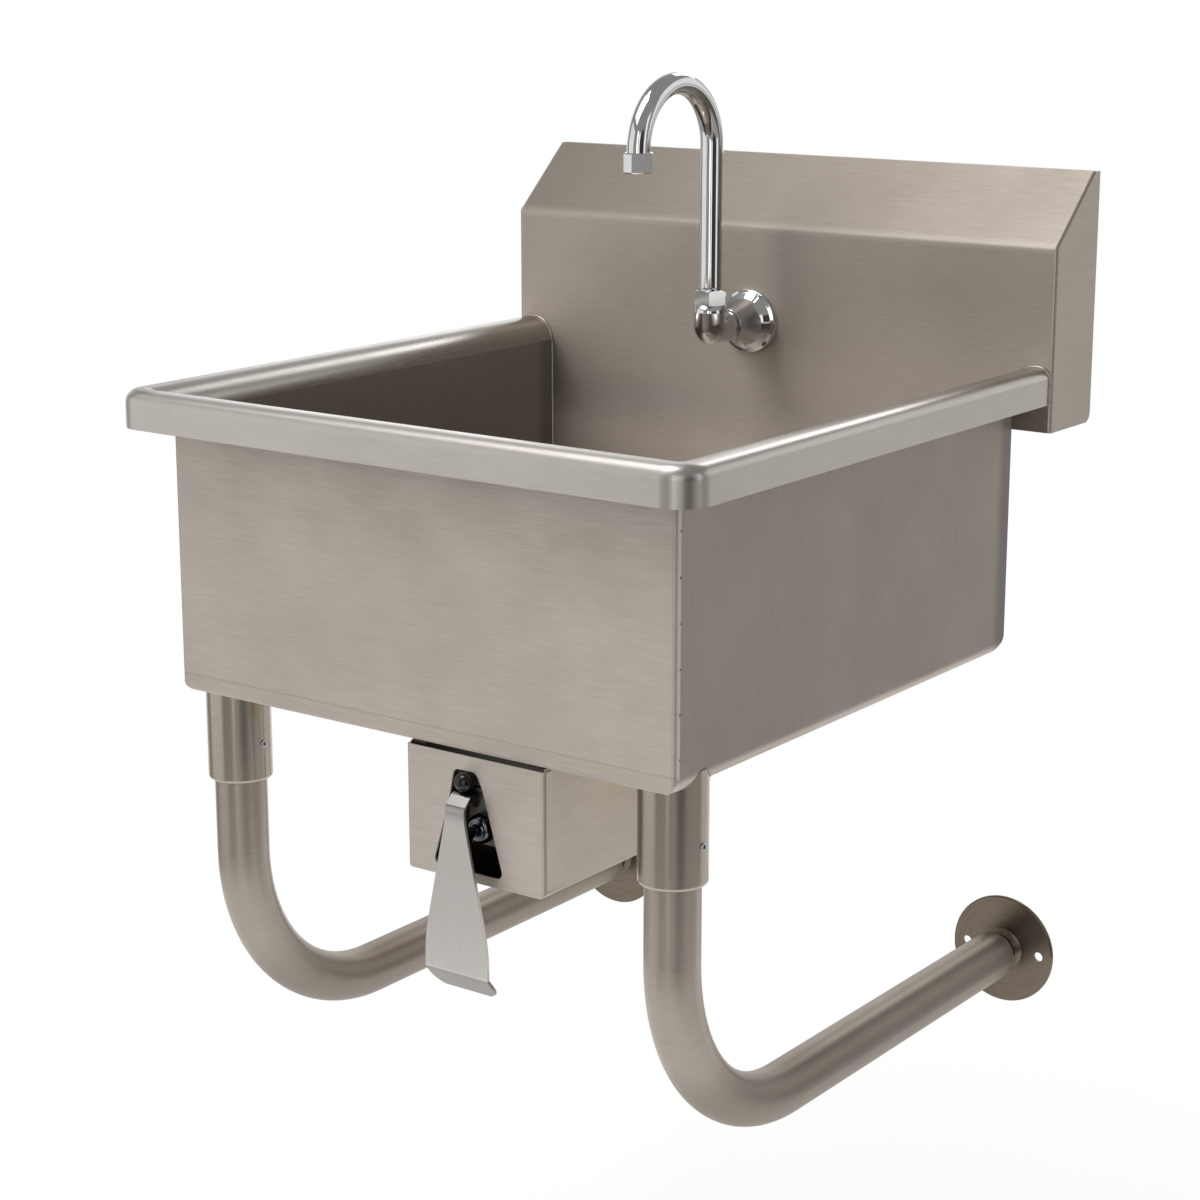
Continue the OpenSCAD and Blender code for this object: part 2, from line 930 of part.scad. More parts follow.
module tailpiece_nut() {
    top = floor_z - cup_depth - outlet_len;
    h = slip_nut_up + slip_nut_down;
    color(chrome)
        at_drain(top - slip_nut_down)
            difference() {
                hexagon_bar(outlet_r + slip_nut_wall + 2 * play, h, bend_r);
                translate([0, 0, -over])
                    cylinder(r = tail_r + play, h = h + 2 * over);
                translate([0, 0, slip_nut_down - tail_flange_t])
                    cylinder(r = outlet_r + running, h = h);
            }
}

// Leg sockets: closed at the top, rounded at the lower end
module leg_socket() {
    low = bowl_low_z - socket_len;
    inner = leg_r + leg_play;
    color(steel)
        difference() {
            translate([leg_x, leg_y, 0])
                rotate_extrude()
                    difference() {
                        rounded([
                            [0, low], [socket_r, low], [socket_r, bowl_low_z], [0, bowl_low_z]
                        ], [0, socket_round, 0, 0]);
                        translate([0, low - over])
                            square([inner, socket_len - socket_cap_t + over]);
                    }
            translate([leg_x, leg_y, screw_z])
                rotate([0, 90, 0])
                    cylinder(r = screw_r + running, h = socket_r + over);
        }
}

module leg_socket_right() {
    leg_socket();
}

// Both set screws look to the right, so only the place of the socket changes
module leg_socket_left() {
    translate([-2 * leg_x, 0, 0])
        leg_socket();
}

module socket_screws() {
    color(chrome)
        for (x = [-leg_x, leg_x])
            translate([x + leg_r, leg_y, screw_z])
                rotate([0, 90, 0])
                    difference() {
                        cylinder(r = screw_r, h = socket_r - leg_r + screw_out);
                        translate([0, 0, socket_r - leg_r + screw_out - screw_hex_depth])
                            cylinder(r = screw_hex_r, h = screw_hex_depth + over, $fn = 6);
                    }
}

// Leg: down from the socket, round the bend and back to the wall
module leg_tube(outer, inner) {
    top = bowl_low_z - socket_cap_t;
    bend_y = leg_y + leg_bend_r;
    bend_z = run_z + leg_bend_r;
    translate([leg_x, leg_y, bend_z])
        tube(outer, inner, top - bend_z);
    translate([leg_x, bend_y, bend_z])
        rotate([90, 0, 90])
            rotate(180)
                rotate_extrude(angle = 90)
                    translate([leg_bend_r, 0])
                        ring(outer, inner);
    turned_y(leg_x, bend_y, run_z)
        tube(outer, inner, leg_end_y - bend_y);
}

module leg_right() {
    color(steel)
        leg_tube(leg_r, leg_r - leg_wall);
}

module leg_left() {
    mirror([1, 0, 0])
        leg_right();
}

// Plug in the end of the leg that guides the flange's stub
module leg_insert_right() {
    inner = leg_r - leg_wall;
    color(steel_dark)
        turned_y(leg_x, leg_end_y - insert_len, run_z)
            difference() {
                union() {
                    cylinder(r = inner - running, h = insert_len);
                    translate([0, 0, insert_len])
                        cylinder(r = leg_r - leg_wall / 2, h = insert_lip);
                }
                translate([0, 0, -over])
                    cylinder(r = stub_r + 2 * running, h = insert_len + insert_lip + 2 * over);
            }
}

module leg_insert_left() {
    mirror([1, 0, 0])
        leg_insert_right();
}

module wall_flange_right() {
    color(steel)
        difference() {
            turned_y(leg_x, -stub_len, run_z)
                rotate_extrude()
                    polygon([
                        [0, 0],
                        [stub_r, 0],
                        [stub_r, stub_len - flange_t - weld_w],
                        [stub_r + weld_w / 2, stub_len - flange_t - weld_w / 3],
                        [stub_r + weld_w, stub_len - flange_t],
                        [flange_r - flange_edge_r, stub_len - flange_t],
                        [flange_r, stub_len - flange_t + flange_edge_r],
                        [flange_r, stub_len],
                        [0, stub_len]
                    ]);
            for (side = [-1, 1])
                turned_y(leg_x + side * flange_spacing / 2, -flange_t - over, run_z)
                    cylinder(r = flange_hole_r, h = flange_t + 2 * over);
        }
}

module wall_flange_left() {
    mirror([1, 0, 0])
        wall_flange_right();
}

// Valve box: a channel under the bowl, open at the rear, closed in front by a slotted plate
module valve_box() {
    left = box_left + sheet_t;
    right = box_right - sheet_t;
    color(steel)
        difference() {
            along_y(box_front_y + bend_r, box_rear_y)
                ribbon([
                    [left + box_flange, bowl_low_z],
                    [left, bowl_low_z],
                    [left, box_low_z],
                    [right, box_low_z],
                    [right, bowl_low_z],
                    [right - box_flange, bowl_low_z]
                ], sheet_t, bend_r);
            for (k = [-1, 1])
                translate([pedal_x + k * valve_screw_pitch / 2, manifold_y() + manifold_depth / 2, 0])
                    translate([0, 0, box_low_z - over])
                        cylinder(r = valve_screw_r + running, h = sheet_t + 2 * over);
        }
}

module pedal_slot() {
    z = bowl_low_z;
    outline([
        [pedal_x - slot_low_w, z - slot_low],
        [pedal_x + slot_low_w, z - slot_low],
        [pedal_x + slot_knee_right, z - slot_knee_drop],
        [pedal_x + slot_top_right, z - slot_top],
        [pedal_x - slot_top_left, z - slot_top],
        [pedal_x - slot_knee_left, z - slot_knee_left_drop]
    ], [slot_r, slot_r, 0, slot_r, slot_r, 0]);
}

// Plan of the front plate with its two returns
module box_front_plan() {
    rear = box_front_y + box_return;
    difference() {
        rounded([
            [box_left, box_front_y], [box_right, box_front_y], [box_right, rear], [box_left, rear]
        ], [bend_r, bend_r, 0, 0]);
        rounded([
            [box_left + sheet_t, box_front_y + sheet_t],
            [box_right - sheet_t, box_front_y + sheet_t],
            [box_right - sheet_t, rear + over],
            [box_left + sheet_t, rear + over]
        ], [bend_r - sheet_t, bend_r - sheet_t, 0, 0]);
    }
}

module box_front() {
    top = bowl_low_z - box_gap;
    color(steel)
        difference() {
            intersection() {
                translate([0, 0, box_low_z])
                    linear_extrude(top - box_low_z)
                        box_front_plan();
                along_y(box_front_y - over, box_front_y + box_return + over)
                    rounded([
                        [box_left, box_low_z], [box_right, box_low_z], [box_right, top], [box_left, top]
                    ], [box_corner_r, box_corner_r, 0, 0]);
            }
            along_y(box_front_y - over, box_front_y + sheet_t + over)
                pedal_slot();
        }
}

// Knee pedal: a bent plate whose arm goes back through the slot to its pivot
module pedal_side() {
    lip_y = pedal_back_y + pedal_lip * sin(pedal_lip_angle);
    lip_z = pedal_low_z - pedal_lip * cos(pedal_lip_angle);
    strip([
        [lip_y, lip_z],
        [pedal_back_y, pedal_low_z],
        [pedal_back_y, arm_z - neck_slope],
        [pedal_back_y + neck_slope, arm_z],
        [pivot_y, arm_z]
    ], pedal_t, neck_bend_r, pedal_bend_steps);
}

module pedal_outline() {
    lip_z = pedal_low_z - pedal_lip * cos(pedal_lip_angle) - pedal_t;
    neck = pedal_neck_w / 2;
    wide = pedal_w / 2;
    neck_z = arm_z - neck_slope - neck_hold;
    outline([
        [pedal_x - neck, pivot_z],
        [pedal_x - neck, neck_z],
        [pedal_x - wide, pedal_low_z + pedal_hip_up],
        [pedal_x - wide, lip_z],
        [pedal_x + wide, lip_z],
        [pedal_x + wide, pedal_low_z + pedal_hip_up],
        [pedal_x + neck, neck_z],
        [pedal_x + neck, pivot_z]
    ], [0, pedal_neck_r, pedal_hip_r, pedal_corner_r, pedal_corner_r, pedal_hip_r, pedal_neck_r, 0]);
}

module knee_pedal() {
    color(chrome)
        difference() {
            union() {
                intersection() {
                    along_x(pedal_x - pedal_w / 2, pedal_x + pedal_w / 2)
                        pedal_side();
                    along_y(pedal_back_y - 2 * pedal_t, pivot_y)
                        pedal_outline();
                }
                translate([pedal_x - pedal_neck_w / 2, pivot_y, pivot_z])
                    rotate([0, 90, 0])
                        cylinder(r = barrel_r, h = pedal_neck_w);
            }
            translate([pedal_x - pedal_neck_w, pivot_y, pivot_z])
                rotate([0, 90, 0])
                    cylinder(r = pin_r + running, h = 2 * pedal_neck_w);
        }
}

// Half the width between the outer faces of the bracket's ears
function ear_half() = pedal_neck_w / 2 + ear_play + ear_t;

module pedal_pin() {
    half = ear_half();
    color(chrome)
        translate([pedal_x - half - pin_head_t, pivot_y, pivot_z])
            rotate([0, 90, 0]) {
                cylinder(r = pin_r, h = 2 * (half + pin_head_t));
                cylinder(r = pin_head_r, h = pin_head_t);
                translate([0, 0, 2 * half + pin_head_t])
                    cylinder(r = pin_head_r, h = pin_head_t);
            }
}

module bracket_ear() {
    front = pivot_y - ear_front;
    rear = bracket_y + bracket_t;
    rounded([
        [rear, pivot_z - ear_down],
        [rear, pivot_z + ear_up],
        [front, pivot_z + ear_up],
        [front, pivot_z - ear_up / 2],
        [front + ear_nose, pivot_z - ear_down]
    ], [0, bend_r, bend_r, bend_r, bend_r]);
}

module pivot_bracket() {
    half = ear_half();
    plate_top = pivot_z - bracket_plate_top;
    bar_y = pivot_y - ear_front;
    color(steel_dark)
        difference() {
            union() {
                for (x = [pedal_x - half, pedal_x + half - ear_t])
                    along_x(x, x + ear_t)
                        bracket_ear();
                along_y(bracket_y, bracket_y + bracket_t)
                    rounded([
                        [pedal_x - bracket_plate_w / 2, plate_top - bracket_plate_h],
                        [pedal_x + bracket_plate_w / 2, plate_top - bracket_plate_h],
                        [pedal_x + bracket_plate_w / 2, plate_top],
                        [pedal_x - bracket_plate_w / 2, plate_top]
                    ], [bend_r, bend_r, bend_r, bend_r]);
                translate([pedal_x - half, bar_y, pivot_z + ear_up - bar_h])
                    cube([2 * half, bar_depth, bar_h - bend_r]);
            }
            translate([pedal_x - half - over, pivot_y, pivot_z])
                rotate([0, 90, 0])
                    cylinder(r = pin_r + running, h = 2 * (half + over));
            turned_y(pedal_x, bracket_y - over, valve_z)
                cylinder(r = bonnet_thread_r + play, h = bracket_t + 2 * over);
            turned_y(pedal_x, bar_y - over, bumper_z)
                cylinder(r = bumper_stud_r + running, h = bar_depth + 2 * over);
        }
}

// Rubber ball on a stud: the arm of the pedal comes up against it at rest
module pedal_bumper() {
    color(rubber)
        union() {
            translate([pedal_x, bumper_y, bumper_z])
                sphere(r = bumper_r);
            turned_y(pedal_x, bumper_y, bumper_z)
                cylinder(r = bumper_stud_r, h = pivot_y - ear_front + bar_depth - bumper_y);
        }
}

// Valve
// Front of the cross block that carries the supply nipples
function manifold_y() = body_front_y + body_len - manifold_depth / 2;

module valve_body() {
    rear = manifold_y() + manifold_depth;
    color(brass)
        difference() {
            union() {
                turned_y(pedal_x, body_front_y, valve_z)
                    cylinder(r = body_r, h = body_len);
                along_y(manifold_y(), rear)
                    rounded([
                        [pedal_x - manifold_w / 2, valve_z - manifold_h / 2],
                        [pedal_x + manifold_w / 2, valve_z - manifold_h / 2],
                        [pedal_x + manifold_w / 2, valve_z + manifold_h / 2],
                        [pedal_x - manifold_w / 2, valve_z + manifold_h / 2]
                    ], [manifold_r, manifold_r, manifold_r, manifold_r]);
                translate([
                    pedal_x - foot_w / 2,
                    manifold_y() + (manifold_depth - foot_depth) / 2,
                    box_low_z + sheet_t
                ])
                    cube([foot_w, foot_depth, valve_z - box_low_z - sheet_t]);
            }
            turned_y(pedal_x, body_front_y - over, valve_z)
                cylinder(r = bonnet_thread_r + running, h = chamber_len + over);
            for (side = [-1, 1])
                turned_y(pedal_x + side * nipple_spacing / 2, rear - nipple_sink, nipple_z)
                    cylinder(r = nipple_r + running, h = nipple_sink + over);
            turned_y(pedal_x, rear - nipple_sink, outlet_pipe_z)
                cylinder(r = outlet_pipe_r + running, h = nipple_sink + over);
            for (k = [-1, 1])
                translate([pedal_x + k * valve_screw_pitch / 2, manifold_y() + manifold_depth / 2, box_low_z])
                    cylinder(r = valve_screw_r + running, h = foot_depth / 2);
        }
}

module valve_bonnet() {
    thread = bonnet_thread_len;
    head = body_front_y - bracket_t - bonnet_front_y;
    color(chrome)
        turned_y(pedal_x, bonnet_front_y, valve_z)
            difference() {
                union() {
                    rotate_extrude()
                        polygon([
                            [0, 0],
                            [bonnet_r - bonnet_edge, 0],
                            [bonnet_r, bonnet_edge],
                            [bonnet_r, head - bonnet_edge / 2],
                            [bonnet_r - bonnet_edge / 2, head],
                            [0, head]
                        ]);
                    cylinder(r = bonnet_thread_r, h = head + thread);
                }
                translate([0, 0, -over])
                    cylinder(r = stem_r + 2 * running, h = head + thread + 2 * over);
                translate([0, 0, seal_in])
                    cylinder(r = stem_r + seal_w, h = seal_len);
            }
}

module stem_seal() {
    color(rubber)
        turned_y(pedal_x, bonnet_front_y + seal_in, valve_z)
            tube(stem_r + seal_w, stem_r + running, seal_len);
}

module valve_stem() {
    tip_y = pedal_back_y + stem_tip_gap;
    collar_y = bonnet_front_y + (body_front_y - bracket_t - bonnet_front_y) + bonnet_thread_len + play;
    dome_y = tip_y + stem_dome_r - sqrt(stem_dome_r * stem_dome_r - stem_head_r * stem_head_r);
    color(chrome)
        union() {
            intersection() {
                translate([pedal_x, tip_y + stem_dome_r, valve_z])
                    sphere(r = stem_dome_r);
                turned_y(pedal_x, tip_y - over, valve_z)
                    cylinder(r = stem_head_r, h = stem_head_r + over);
            }
            turned_y(pedal_x, dome_y, valve_z)
                cylinder(r = stem_head_r, h = tip_y + stem_head_len - dome_y);
            turned_y(pedal_x, tip_y + stem_head_r, valve_z)
                cylinder(r = stem_r, h = collar_y + collar_t - tip_y - stem_head_r);
            turned_y(pedal_x, collar_y, valve_z)
                cylinder(r = collar_r, h = collar_t);
        }
}

module nipple(r, bore) {
    difference() {
        union() {
            cylinder(r = r, h = nipple_sink + nipple_len);
            translate([0, 0, nipple_sink])
                hexagon_bar(r + nipple_hex_r - nipple_r, nipple_hex_t, sheet_t);
        }
        translate([0, 0, -over])
            cylinder(r = bore, h = nipple_sink + nipple_len + 2 * over);
    }
}

module supply_nipples() {
    rear = manifold_y() + manifold_depth;
    color(brass)
        for (side = [-1, 1])
            turned_y(pedal_x + side * nipple_spacing / 2, rear - nipple_sink, nipple_z)
                nipple(nipple_r, nipple_bore_r);
}

module outlet_nipple() {
    rear = manifold_y() + manifold_depth;
    color(brass)
        turned_y(pedal_x, rear - nipple_sink, outlet_pipe_z)
            nipple(outlet_pipe_r, outlet_pipe_r - nipple_r + nipple_bore_r);
}

module valve_screws() {
    color(chrome)
        for (k = [-1, 1])
            translate([pedal_x + k * valve_screw_pitch / 2, manifold_y() + manifold_depth / 2, box_low_z]) {
                cylinder(r = valve_screw_r, h = foot_depth / 2);
                translate([0, 0, -valve_screw_head_t])
                    cylinder(r = valve_screw_head_r, h = valve_screw_head_t);
            }
}

// Tap
module tap_flange() {
    r = tap_flange_r;
    color(chrome)
        turned_y(tap_x, face_y, tap_z)
            mirror([0, 0, 1])
                difference() {
                    rotate_extrude()
                        outline([
                            [0, 0],
                            [r, 0],
                            [r, tap_flange_edge],
                            [r - tap_flange_edge, tap_flange_edge + tap_flange_edge / 2],
                            [elbow_r + elbow_step_r, tap_flange_h],
                            [0, tap_flange_h]
                        ], [0, 0, tap_flange_edge / 3, tap_flange_edge, sheet_t, 0]);
                    translate([0, 0, -over])
                        cylinder(r = shank_r + play, h = tap_flange_h + 2 * over);
                }
}

// Its end is turned down a little for the nut of the supply hose
module tap_shank() {
    len = shank_front + tap_flange_h + shank_rear;
    end = shank_rear - sheet_t - shank_washer_t - shank_nut_t;
    color(brass)
        turned_y(tap_x, face_y - tap_flange_h - shank_front, tap_z) {
            tube(shank_r, shank_bore_r, len - end);
            translate([0, 0, len - end])
                tube(shank_r - shank_end_cut, shank_bore_r, end);
        }
}

module shank_washer() {
    color(rubber)
        turned_y(tap_x, face_y + sheet_t, tap_z)
            tube(shank_washer_r, shank_r + play, shank_washer_t);
}

module shank_locknut() {
    color(brass)
        turned_y(tap_x, face_y + sheet_t + shank_washer_t, tap_z)
            difference() {
                hexagon_bar(shank_nut_r, shank_nut_t, sheet_t);
                translate([0, 0, -over])
                    cylinder(r = shank_r + running, h = shank_nut_t + 2 * over);
            }
}

// A quarter of a torus from level to upright, around the inside of the elbow
module elbow_bend(r) {
    translate([tap_x, riser_y + elbow_bend_r, tap_z + elbow_bend_r])
        rotate([90, 0, 90])
            rotate(180)
                rotate_extrude(angle = 90)
                    translate([elbow_bend_r, 0])
                        circle(r);
}

// Elbow: level from the flange, turned up to the riser, with step rings on its level part
module tap_elbow() {
    rear_y = face_y - tap_flange_h;
    bend_y = riser_y + elbow_bend_r;
    bend_z = tap_z + elbow_bend_r;
    level = rear_y - bend_y;
    shoulder = elbow_top_z - bend_z;
    seat_z = elbow_top_z - goose_seat - play;
    color(chrome)
        difference() {
            union() {
                turned_y(tap_x, bend_y, tap_z)
                    rotate_extrude()
                        polygon([
                            [0, 0],
                            [elbow_r, 0],
                            [elbow_r, level - 2 * elbow_step_w],
                            [elbow_r + elbow_step_r / 2, level - 2 * elbow_step_w],
                            [elbow_r + elbow_step_r / 2, level - elbow_step_w],
                            [elbow_r + elbow_step_r, level - elbow_step_w],
                            [elbow_r + elbow_step_r, level],
                            [0, level]
                        ]);
                elbow_bend(elbow_r);
                translate([tap_x, riser_y, bend_z])
                    rotate_extrude()
                        polygon([
                            [0, 0],
                            [elbow_r, 0],
                            [elbow_r, shoulder],
                            [elbow_thread_r, shoulder],
                            [elbow_thread_r, shoulder + elbow_thread_h],
                            [0, shoulder + elbow_thread_h]
                        ]);
            }
            turned_y(tap_x, bend_y, tap_z)
                cylinder(r = elbow_bore_r, h = level + over);
            turned_y(tap_x, rear_y - shank_front - play, tap_z)
                cylinder(r = shank_r + running, h = shank_front + play + over);
            elbow_bend(elbow_bore_r);
            translate([tap_x, riser_y, bend_z])
                cylinder(r = elbow_bore_r, h = shoulder + elbow_thread_h + over);
            translate([tap_x, riser_y, seat_z])
                cylinder(r = goose_tube_r + 2 * running, h = elbow_thread_h + 2 * goose_seat);
        }
}

module swivel_nut() {
    color(chrome)
        translate([tap_x, riser_y, elbow_top_z])
            difference() {
                hexagon_bar(nut_r, nut_h, nut_chamfer);
                translate([0, 0, -over])
                    cylinder(r = goose_tube_r + 2 * running, h = nut_h + 2 * over);
                translate([0, 0, -over])
                    cylinder(r = elbow_thread_r + running, h = elbow_thread_h + play + over);
            }
}

module gooseneck() {
    outer = goose_tube_r;
    inner = goose_tube_r - goose_wall;
    low = elbow_top_z - goose_seat;
    color(chrome) {
        translate([tap_x, riser_y, low])
            tube(outer, inner, goose_z - low);
        translate([tap_x, riser_y - goose_r, goose_z])
            rotate([90, 0, 90])
                rotate_extrude(angle = 180)
                    translate([goose_r, 0])
                        ring(outer, inner);
        translate([tap_x, outlet_y, goose_z - goose_end])
            tube(outer, inner, goose_end);
    }
}

module aerator_housing() {
    r = aerator_r;
    band_z = aerator_h - aerator_band;
    color(chrome)
        translate([tap_x, outlet_y, goose_z - aerator_h])
            difference() {
                rotate_extrude()
                    polygon([
                        [0, 0],
                        [r - sheet_t, 0],
                        [r - sheet_t / 2, sheet_t],
                        [r - sheet_t / 2, band_z],
                        [r + aerator_band_out, band_z],
                        [r + aerator_band_out, aerator_h - sheet_t / 2],
                        [r, aerator_h],
                        [0, aerator_h]
                    ]);
                translate([0, 0, -over])
                    cylinder(r = goose_tube_r + running, h = aerator_h + 2 * over);
            }
}

module aerator_insert() {
    r = goose_tube_r - running;
    color(steel_dark)
        translate([tap_x, outlet_y, goose_z - aerator_h + sheet_t])
            difference() {
                cylinder(r = r, h = aerator_insert_t);
                translate([0, 0, sheet_t])
                    cylinder(r = r - aerator_ring_w, h = aerator_insert_t);
                for (k = [0 : aerator_holes - 1])
                    rotate(k * 360 / aerator_holes)
                        translate([r / 2, 0, -over])
                            cylinder(r = aerator_hole_r, h = sheet_t + 2 * over, $fn = 24);
            }
}

bowl_wrap();
bowl_front();
rolled_rim();
backsplash();
splash_end_left();
splash_end_right();
wall_hanger();
drain_flange();
drain_gasket();
drain_locknut();
strainer_basket();
tailpiece();
tailpiece_nut();
leg_socket_left();
leg_socket_right();
socket_screws();
leg_left();
leg_right();
leg_insert_left();
leg_insert_right();
wall_flange_left();
wall_flange_right();
valve_box();
box_front();
knee_pedal();
pedal_pin();
pivot_bracket();
pedal_bumper();
valve_body();
valve_bonnet();
valve_stem();
stem_seal();
supply_nipples();
outlet_nipple();
valve_screws();
tap_flange();
tap_shank();
shank_washer();
shank_locknut();
tap_elbow();
swivel_nut();
gooseneck();
aerator_housing();
aerator_insert();
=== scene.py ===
"""Looks of the wall-hung hand sink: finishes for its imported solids, small pieces for its welds, threads and
turned or cast forms, a plain studio and the camera of the photograph. All lengths are in metres."""
import math

import bmesh
import bpy
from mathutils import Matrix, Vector, noise


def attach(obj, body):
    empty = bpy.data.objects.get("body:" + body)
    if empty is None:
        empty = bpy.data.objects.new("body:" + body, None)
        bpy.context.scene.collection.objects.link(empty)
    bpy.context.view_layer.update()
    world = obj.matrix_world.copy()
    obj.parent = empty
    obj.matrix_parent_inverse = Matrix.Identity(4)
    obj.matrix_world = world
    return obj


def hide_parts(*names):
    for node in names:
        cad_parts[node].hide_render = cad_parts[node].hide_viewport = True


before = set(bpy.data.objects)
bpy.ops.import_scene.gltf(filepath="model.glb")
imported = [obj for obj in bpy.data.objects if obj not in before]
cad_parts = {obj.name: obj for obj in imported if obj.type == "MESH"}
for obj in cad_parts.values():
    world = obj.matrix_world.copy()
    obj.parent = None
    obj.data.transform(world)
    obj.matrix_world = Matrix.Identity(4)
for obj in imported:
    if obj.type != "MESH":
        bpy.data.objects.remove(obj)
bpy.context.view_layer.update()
MM = 0.001
RIGHT = Vector((1, 0, 0))
BACK = Vector((0, 1, 0))
UP = Vector((0, 0, 1))
SIDES = ((1, "right"), (-1, "left"))

# Camera: where the photograph was taken from
CAMERA_PLACE = Vector((1.2156, -1.9778, 0.2281))
CAMERA_YAW = math.radians(36.138)
CAMERA_DOWN = math.radians(13.95)
CAMERA_LENS = 80.17

# Black flag that stands right of the camera and draws dark bands down the tubes
FLAG_TURN = math.radians(329)

# Where the white backdrop, the room's upper shade and the flag begin and are full, as cosines
BACKDROP_EDGE = (0.58, 0.92)
ROOM_EDGE = (-0.6, 0.5)
FLAG_EDGE = (0.915, 0.955)

# Middle of the sink: the lamps are aimed at it, and the floor lies under it
MIDDLE = Vector((0, -0.3, -0.25))

# Floor: a hand sink's rim stands about 864 mm above it. It fades from FLOOR_SHADE_R to white at FLOOR_WHITE_R
FLOOR_Z = -0.969
FLOOR_SHADE_R = 0.5
FLOOR_WHITE_R = 1.25
FLOOR_R = 1.35

# Places and sizes on the sink, as in the part's source
RIM_HALF_W = 0.265
RIM_FRONT_Y = -0.578
RIM_TOP_Z = -0.105
RIM_LOW_Z = -0.134
RIM_OUTER_R = 0.010
RIM_INNER_R = 0.0195
RIM_ROLL_W = 0.0335
FACE_Y = -0.070
FACE_LOW_Z = -0.157
FOLD_Z = -0.010
BOWL_HALF_W = 0.233
BOWL_LOW_Z = -0.343
SEAM_Y = -0.540
CREASE_Z = -0.329
WRAP_BEND_R = 0.012
LEG_X = 0.208
LEG_Y = -0.511
LEG_BEND_R = 0.150
LEG_BEND_Y = -0.361
LEG_BEND_Z = -0.479
LEG_RUN_Z = -0.629
SOCKET_R = 0.0254
SADDLE_TURN = math.radians(62)
TACK_PITCH = 0.032
DRAIN_Y = -0.308
CUP_THREAD_Z = -0.3835
CUP_THREAD_LENGTH = 0.029
TAP_X = -0.020
TAP_Z = -0.090
ELBOW_R = 0.0135
ELBOW_BEND_R = 0.014
ELBOW_CORNER_R = 0.015
ELBOW_Y = -0.116
ELBOW_TOP_Z = -0.070
SHANK_THREAD_Y = -0.060
SHANK_THREAD_LENGTH = 0.0345
NECK_R = 0.0095
NECK_LOW_Z = -0.074
CROOK_R = 0.052
CROOK_Y = -0.182
CROOK_Z = 0.062
NECK_END_Z = 0.0475
AERATOR_LOW_Z = 0.046
PEDAL_X = 0.051
PEDAL_NECK_Z = -0.381
PEDAL_LIP_Z = -0.507
BOX_MIDDLE = (0.0575, -0.457, -0.39)
BOX_HALF = (0.0612, 0.086, 0.0502)
# Middle of the painted straw-coloured reflection on the box's side
BOX_HEATED = (0.1195, -0.464, -0.372)
VALVE_Z = -0.405
BONNET_FRONT_Y = -0.533
NIPPLE_Y = -0.4585
NIPPLE_LENGTH = 0.0213
SUPPLY_OFFSET = 0.022
SUPPLY_Z = -0.413
OUTLET_Z = -0.397

# Outlines of turned pieces: radius and height in mm
AERATOR_FLATS = [(11.8, 0), (12.5, 0.8), (12.5, 15.2), (11.6, 16), (9.9, 16), (9.9, 0)]
BONNET_CAP = [(4.5, 2.0), (4.5, 3.8), (6.2, 3.6), (6.5, 3.1), (6.9, 3.1), (7.2, 3.3), (8.4, 2.7), (9.5, 1.8),
              (10.4, 0.6), (11.0, -0.9), (11.3, -2.8), (11.3, -6), (4.5, -6)]

# Threads: radius of the pin, pitch and depth
HALF_INCH_PIPE = (0.0103, 0.00181, 0.0005)
THREE_EIGHTHS_PIPE = (0.0079, 0.00141, 0.0004)
FINE_CUP = (0.043, 0.0020, 0.0005)

# Strokes per metre of the brushed finishes: fine scratches across and along the grain, and broad bands
FINE_ACROSS, FINE_ALONG = 1100, 50
BROAD_ACROSS, BROAD_ALONG = 170, 6


def linear(code):
    """An sRGB hex colour as linear RGBA."""
    parts = [int(code[k:k + 2], 16) / 255 for k in (1, 3, 5)]
    return tuple(c / 12.92 if c <= 0.04045 else ((c + 0.055) / 1.055) ** 2.4 for c in parts) + (1,)


def add(tree, kind, settings=None, *values, inputs=None, out=0):
    """Adds one shader node and gives its output: values go to its sockets in turn, inputs to those it names,
    and a value that is itself a socket is linked."""
    node = tree.nodes.new("ShaderNode" + kind)
    for key, value in (settings or {}).items():
        setattr(node, key, value)
    for key, value in [*enumerate(values), *(inputs or {}).items()]:
        if isinstance(value, bpy.types.NodeSocket):
            tree.links.new(value, node.inputs[key])
        else:
            node.inputs[key].default_value = value
    return node.outputs[out] if node.outputs else None


# Node settings that come up often
ADD = {"operation": "ADD"}
SUBTRACT = {"operation": "SUBTRACT"}
MULTIPLY = {"operation": "MULTIPLY"}
MAXIMUM = {"operation": "MAXIMUM"}
ABSOLUTE = {"operation": "ABSOLUTE"}
LESS = {"operation": "LESS_THAN"}
GREATER = {"operation": "GREATER_THAN"}
COLOURS = {"data_type": "RGBA"}
SOFT_STEP = {"interpolation_type": "SMOOTHSTEP"}


# Camera and studio
def photo_camera():
    """The photograph's own camera, far off and a little above the bowl."""
    data = bpy.data.cameras.new("photo_camera")
    data.lens = CAMERA_LENS
    data.sensor_width = 36
    data.clip_end = 50
    camera = bpy.data.objects.new("photo_camera", data)
    camera.location = CAMERA_PLACE
    camera.rotation_euler = (math.pi / 2 - CAMERA_DOWN, 0, CAMERA_YAW)
    bpy.context.collection.objects.link(camera)
    bpy.context.scene.camera = camera


